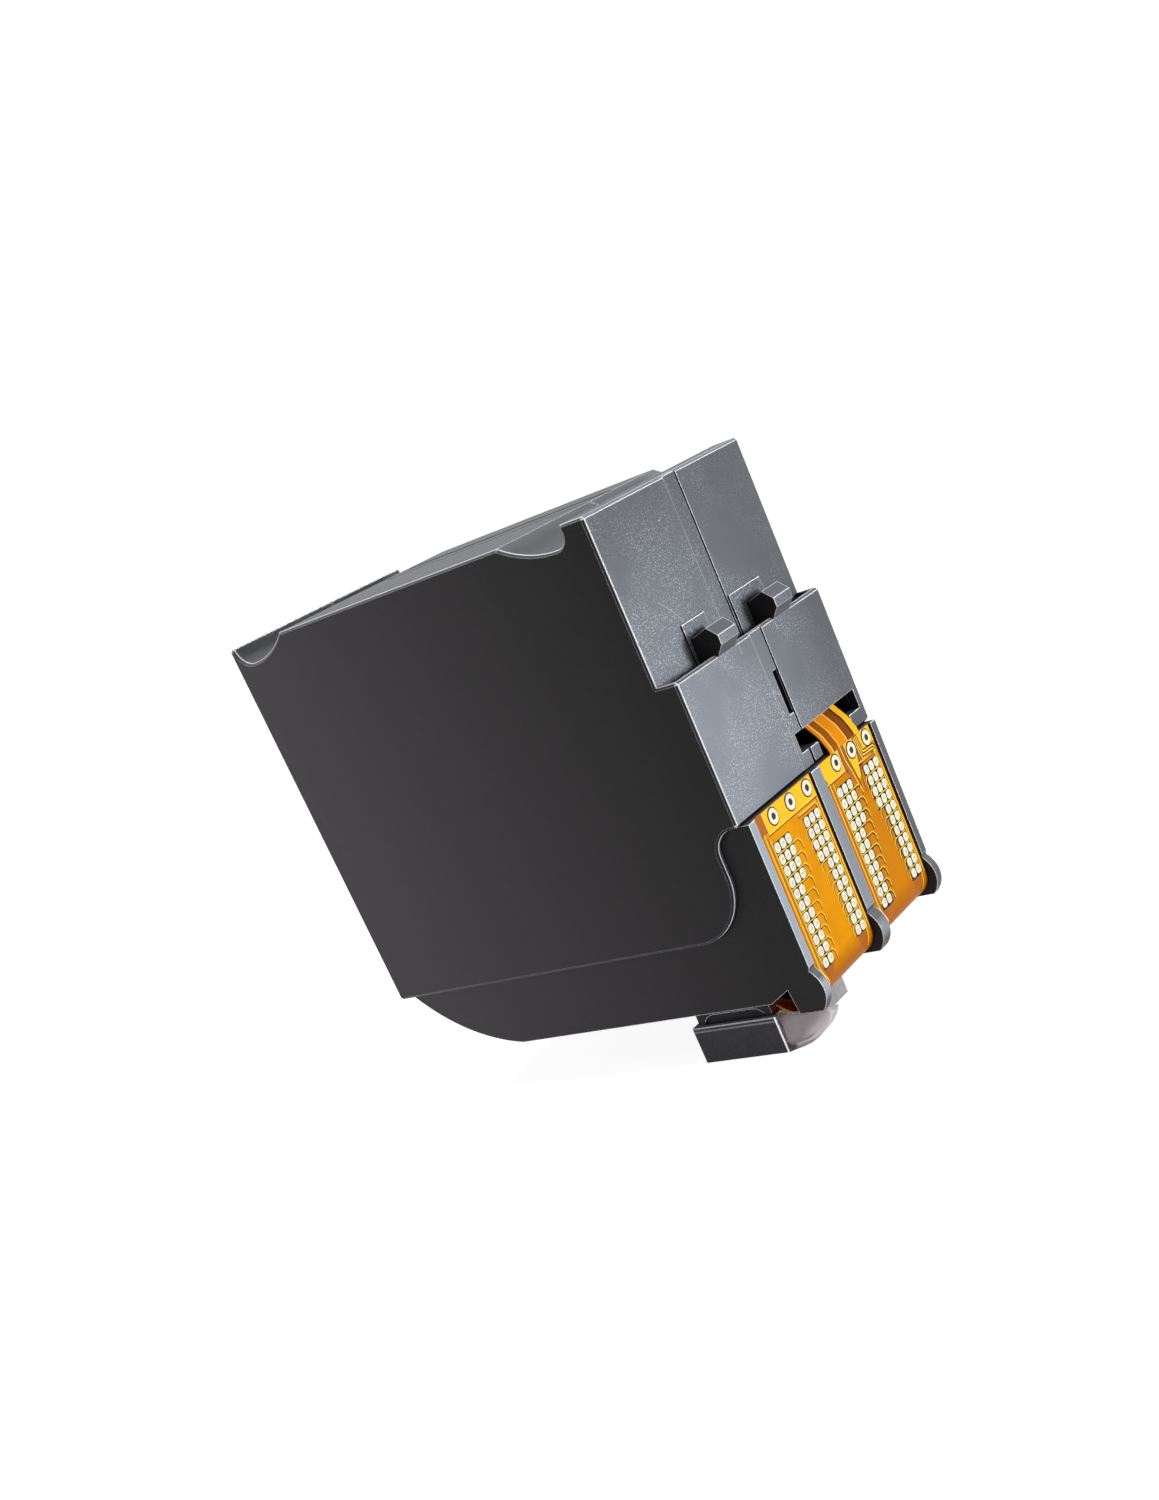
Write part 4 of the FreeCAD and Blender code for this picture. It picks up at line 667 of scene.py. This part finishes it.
# Lines and corners that both circuits have, along the film's left and right edge
EDGE_LIGHT = [
    [(1.0, 25.7), (1.0, 3.2), (1.3, 2.2), (2.4, 0.4), (2.4, -1.2)],
    [(1.95, 24.6), (1.95, 3.6)],
    [(10.9, 24.45), (16.3, 24.45), (16.6, 24.15), (16.6, 3.4), (16.0, 1.6), (15.6, -0.4)],
    [(17.1, 24.9), (17.1, 2.2)],
]
EDGE_BROWN = [
    [(0.45, 25.9), (0.45, 1.0)],
    [(1.5, 24.9), (1.5, 3.4), (2.1, 2.2), (2.9, 0.8)],
    [(10.6, 24.1), (16.1, 24.1), (16.3, 23.9), (16.3, 3.6)],
    [(16.86, 25.0), (16.86, 2.6)],
]
CORNER_BROWN = (
    shape((1.9, 3.0), (4.9, 2.5), (3.6, 0.2), (2.7, 1.0))
    + shape((13.4, 2.4), (15.9, 2.4), (15.5, 0.6), (13.0, 0.2))
)


def pad_shadows(room, below):
    """Painted shadow: dark ground round the pads, reaching further below them."""
    shapes = []
    for column, level in pad_places():
        shapes += box_shape(column - PAD_HALF[0] - room, level - PAD_HALF[1] - below,
                            column + PAD_HALF[0] + room, level + PAD_HALF[1] + 0.1)
    return shapes


def ring_spots(radius, narrow=1.0):
    """A disc or an oval at each test ring."""
    shapes = []
    for centre in RINGS:
        shapes += disc_shape((centre, RING_LEVEL), radius, narrow=narrow)
    return shapes


def stair_lines(shift):
    """Lines that run inwards between the rows and then down beside the smooth middle."""
    paths = []
    for row, level in enumerate(ROWS[:-1]):
        gap = level - ROW_PITCH / 2 + shift
        left_apex = 9.1 - 0.3 * row + shift
        right_apex = 10.9 + 0.2 * row - shift
        for outer, apex, inward in ((2.1, left_apex, 1), (16.3, right_apex, -1)):
            paths.append([(outer, gap), (apex - 0.6 * inward, gap), (apex, gap - 0.7), (apex, gap - 1.7)])
    return paths


def left_pattern():
    """The left circuit's yellow band, brown areas, and the light and dark lines round them."""
    band = box_shape(2.3, 25.25, 17.35, BAND_TOP)
    brown = box_shape(0.25, 25.6, 2.3, BAND_TOP)
    light = [[(2.3, 25.2), (17.35, 25.2)], [(2.3, 25.2), (2.3, BAND_TOP)]]
    dark = [[(2.1, 25.0), (17.3, 25.0)]]
    return band, brown, light, dark


def right_pattern():
    """The same on the right circuit, where the tail's conductors fan out and turn along the edge."""
    band = (
        box_shape(0.4, 25.1, 6.45, BAND_TOP)
        + shape((8.6, BAND_TOP), (11.5, BAND_TOP), (11.8, 27.0), (11.0, 24.8), (10.1, 22.4), (9.4, 22.4),
                (9.0, 24.6), (8.5, 26.8))
        + shape((13.2, BAND_TOP), (17.4, BAND_TOP), (17.4, 25.95), (13.6, 25.95))
    )
    brown = (
        shape((6.5, BAND_TOP), (8.5, BAND_TOP), (8.4, 26.0), (9.3, 22.4), (8.4, 22.2), (6.6, 24.8))
        + shape((11.6, BAND_TOP), (13.1, BAND_TOP), (13.4, 25.9), (12.4, 24.6), (10.3, 22.4), (11.2, 24.8))
    )
    light = [
        [(0.4, 25.05), (6.45, 25.05), (6.45, BAND_TOP)],
        [(7.5, BAND_TOP), (7.6, 26.4), (8.2, 24.4), (9.0, 20.4)],
    ]
    dark = [
        [(6.75, BAND_TOP), (6.9, 25.0), (7.2, 24.6)],
        [(8.45, BAND_TOP), (8.4, 26.4), (9.1, 23.6), (9.35, 20.6)],
        [(11.75, BAND_TOP), (11.95, 27.0), (11.2, 24.8), (10.3, 22.2), (10.1, 20.0)],
        [(0.4, 24.8), (6.7, 24.8)],
    ]
    for nest in range(3):
        inner = 0.45 * nest
        drop = 0.46 * nest
        end = 17.2 - 0.3 * nest
        chevron = [
            (13.05 - inner, BAND_TOP), (13.15 - inner, 26.8), (13.5 - 0.4 * nest, 25.75 - drop),
            (16.7 - 0.2 * nest, 25.6 - drop), (end, 25.1 - drop), (end, 23.0),
        ]
        dark.append(chevron)
        light.append([(across - LIGHT_SHIFT, up - LIGHT_SHIFT) for across, up in chevron])
    return band, brown, light, dark


def print_circuit(side, origin, pattern, shadow_room, shadow_below, dark_width):
    """All that is printed on one circuit, from the lowest layer up, with the painted shadow round the pads,
    and its pads.
    """
    slot = "polyimide_film"
    band, brown, light, dark = pattern
    shades = brown + CORNER_BROWN + lines(EDGE_BROWN, 0.3)
    # The dark shapes also hold the painted shadow round the pads
    dark_and_shadow_shapes = (pad_shadows(shadow_room, shadow_below) + ring_spots(RING_GROUND)
                   + lines(stair_lines(-0.18), dark_width) + lines(dark, 0.16))
    light_shapes = lines(stair_lines(0.0), 0.17) + lines(EDGE_LIGHT + light, 0.22)
    holes = ring_spots(RING_HOLE, RING_HOLE_NARROW)
    print_on(side + "_film_bands", "print_yellow", slot, band, origin, FILM_FACE, 1)
    print_on(side + "_film_shades", "print_brown", slot, shades, origin, FILM_FACE, 1, True)
    print_on(side + "_film_dark_lines_and_shadows", "dark_print_and_shadow", slot, dark_and_shadow_shapes, origin, FILM_FACE, 2, True)
    print_on(side + "_film_light_lines", "print_light", slot, light_shapes, origin, FILM_FACE, 3, True)
    print_on(side + "_ring_holes", "dark_print_and_shadow", slot, holes, origin, FILM_FACE, 4)
    rounded_pads(side + "_plated_pads", origin, side + "_contact_pads")


print_circuit("left", film_low[0], left_pattern(), 0.06, 0.16, 0.14)
print_circuit("right", right_film_low[0], right_pattern(), 0.26, 0.3, 0.3)


# The left film hangs in a shallow bow between the nose and the snout, seen through the notch

# The bow's lower side in millimetres: along the depth, and height
BOW = [(-42.3, -1.9), (-41.6, -2.4), (-40.6, -2.95), (-39.4, -3.3),
       (-38.2, -3.15), (-37.0, -2.65), (-35.8, -1.9), (-34.9, -1.2)]
BOW_THICK = 0.28
BOW_WIDTH = 5.0 * MM


def film_bow(name, left, right):
    """A bowed sheet of film, its faces in painted shade, with lighter cut edges."""
    work = bmesh.new()
    columns = []
    for along, up in BOW:
        columns.append([work.verts.new((across, along * MM, (up + lift) * MM))
                        for across in (left, right) for lift in (0.0, BOW_THICK)])
    for first, second in zip(columns, columns[1:]):
        for one, other, look in ((0, 1, 1), (1, 3, 0), (3, 2, 1), (2, 0, 0)):
            work.faces.new((first[one], first[other], second[other], second[one])).material_index = look
    for column in (columns[0], columns[-1]):
        work.faces.new((column[0], column[1], column[3], column[2]))
    bmesh.ops.recalc_face_normals(work, faces=work.faces[:])
    add_piece(name, work, "polyimide_film", "film_shade", "film_edge")


film_bow("left_film_bow", film_low[0], film_low[0] + BOW_WIDTH)


# Scratches and rubbed spots on the front, in millimetres from the case's middle

UPPER_SCRATCHES = (
    lines([[(-13.6, 62.3), (-12.6, 61.5), (-11.5, 60.4), (-10.3, 59.1), (-9.3, 57.8)]], 0.09)
    + lines([[(-4.05, 57.8), (-4.0, 56.2)]], 0.12)
    + disc_shape((-18.6, 54.7), 0.22, 12)
    + disc_shape((-5.5, 72.5), 0.16, 12)
)
LOWER_SCRATCHES = lines([[(-4.3, 51.1), (-4.3, 49.8)], [(6.9, 51.1), (6.9, 49.8)]], 0.12)
print_on("upper_scratches", "scratch_grey", "case_plastic", UPPER_SCRATCHES, 0.0, UPPER_FACE, 1)
print_on("lower_scratches", "scratch_grey", "case_plastic", LOWER_SCRATCHES, 0.0, LOWER_FACE, 1)


# Floor, world and lights

FLOOR_HALF = 6.0
FLOOR_GAP = 0.02 * MM
SEEN_GLOW = 0.9
AMBIENT = 0.14


def seen_rays(tree):
    """1 for rays that show the surface itself: from the camera, in gloss and through clear plastic."""
    path = node(tree, "ShaderNodeLightPath").outputs
    return largest(tree, path["Is Camera Ray"], path["Is Glossy Ray"], path["Is Transmission Ray"])


def pale_floor(height):
    """A wide pale floor that looks white and still takes the object's shadow."""
    mesh = bpy.data.meshes.new("floor")
    corners = [(x * FLOOR_HALF, y * FLOOR_HALF, height) for x, y in ((-1, -1), (1, -1), (1, 1), (-1, 1))]
    mesh.from_pydata(corners, [], [(0, 1, 2, 3)])
    floor = bpy.data.objects.new("floor", mesh)
    bpy.context.scene.collection.objects.link(floor)
    material, tree, shader = new_material("pale_floor")
    tone = noise(tree, place_of(tree)[0], 6.0)
    colour = blend_colour(tree, tone, (0.78, 0.78, 0.78), (0.82, 0.82, 0.82))
    tree.links.new(colour, shader.inputs["Base Color"])
    tree.links.new(product(tree, seen_rays(tree), SEEN_GLOW), shader.inputs["Emission Strength"])
    shader.inputs["Roughness"].default_value = 0.9
    shader.inputs["Specular IOR Level"].default_value = 0.1
    shader.inputs["Emission Color"].default_value = (1.0, 1.0, 1.0, 1.0)
    mesh.materials.append(material)


def white_world():
    """White where it is seen, and a low even light on matt surfaces."""
    world = bpy.data.worlds.new("studio")
    bpy.context.scene.world = world
    world.use_nodes = True
    tree = world.node_tree
    backdrop = tree.nodes["Background"]
    backdrop.inputs["Color"].default_value = (1.0, 1.0, 1.0, 1.0)
    tree.links.new(between(tree, seen_rays(tree), 0.0, 1.0, AMBIENT, 1.0), backdrop.inputs["Strength"])


def area_light(name, place, target, size, power):
    lamp = bpy.data.lights.new(name, "AREA")
    lamp.energy = power
    lamp.size = size
    made = bpy.data.objects.new(name, lamp)
    made.location = place
    made.rotation_euler = (Vector(target) - Vector(place)).to_track_quat("-Z", "Y").to_euler()
    bpy.context.scene.collection.objects.link(made)


MIDDLE = (0.0, -0.02, 0.03)
LOW_BACK = (-0.02, 0.03, 0.02)
pale_floor(cad_low[2] - FLOOR_GAP)
white_world()
area_light("key", (0.27, -0.72, 0.08), MIDDLE, 0.2, 5.6)
area_light("top", (0.1, 0.15, 0.8), MIDDLE, 0.5, 1.8)
area_light("back_fill", (-0.3, 0.45, 0.02), LOW_BACK, 0.2, 0.45)


# Camera, solved from the photo's straight edges

CAMERA_PLACE = Vector((-0.230662, -0.204731, 0.092296))
CAMERA_RIGHT = Vector((0.500461, -0.776106, -0.383664))
CAMERA_DOWN = Vector((-0.448678, 0.146493, -0.881605))
CAMERA_FORWARD = Vector((0.740423, 0.613351, -0.274908))

camera_data = bpy.data.cameras.new("camera")
camera_data.sensor_width = 36.0
camera_data.sensor_fit = "AUTO"
camera_data.lens = 44.7335
camera_data.shift_x = -0.088167
camera_data.shift_y = 0.117
camera_data.clip_start = 0.01
camera = bpy.data.objects.new("camera", camera_data)
bpy.context.scene.collection.objects.link(camera)
turn = Matrix((CAMERA_RIGHT, -CAMERA_DOWN, -CAMERA_FORWARD)).transposed()
camera.matrix_world = Matrix.Translation(CAMERA_PLACE) @ turn.to_4x4()
bpy.context.scene.camera = camera
bpy.context.scene.view_settings.view_transform = "Standard"
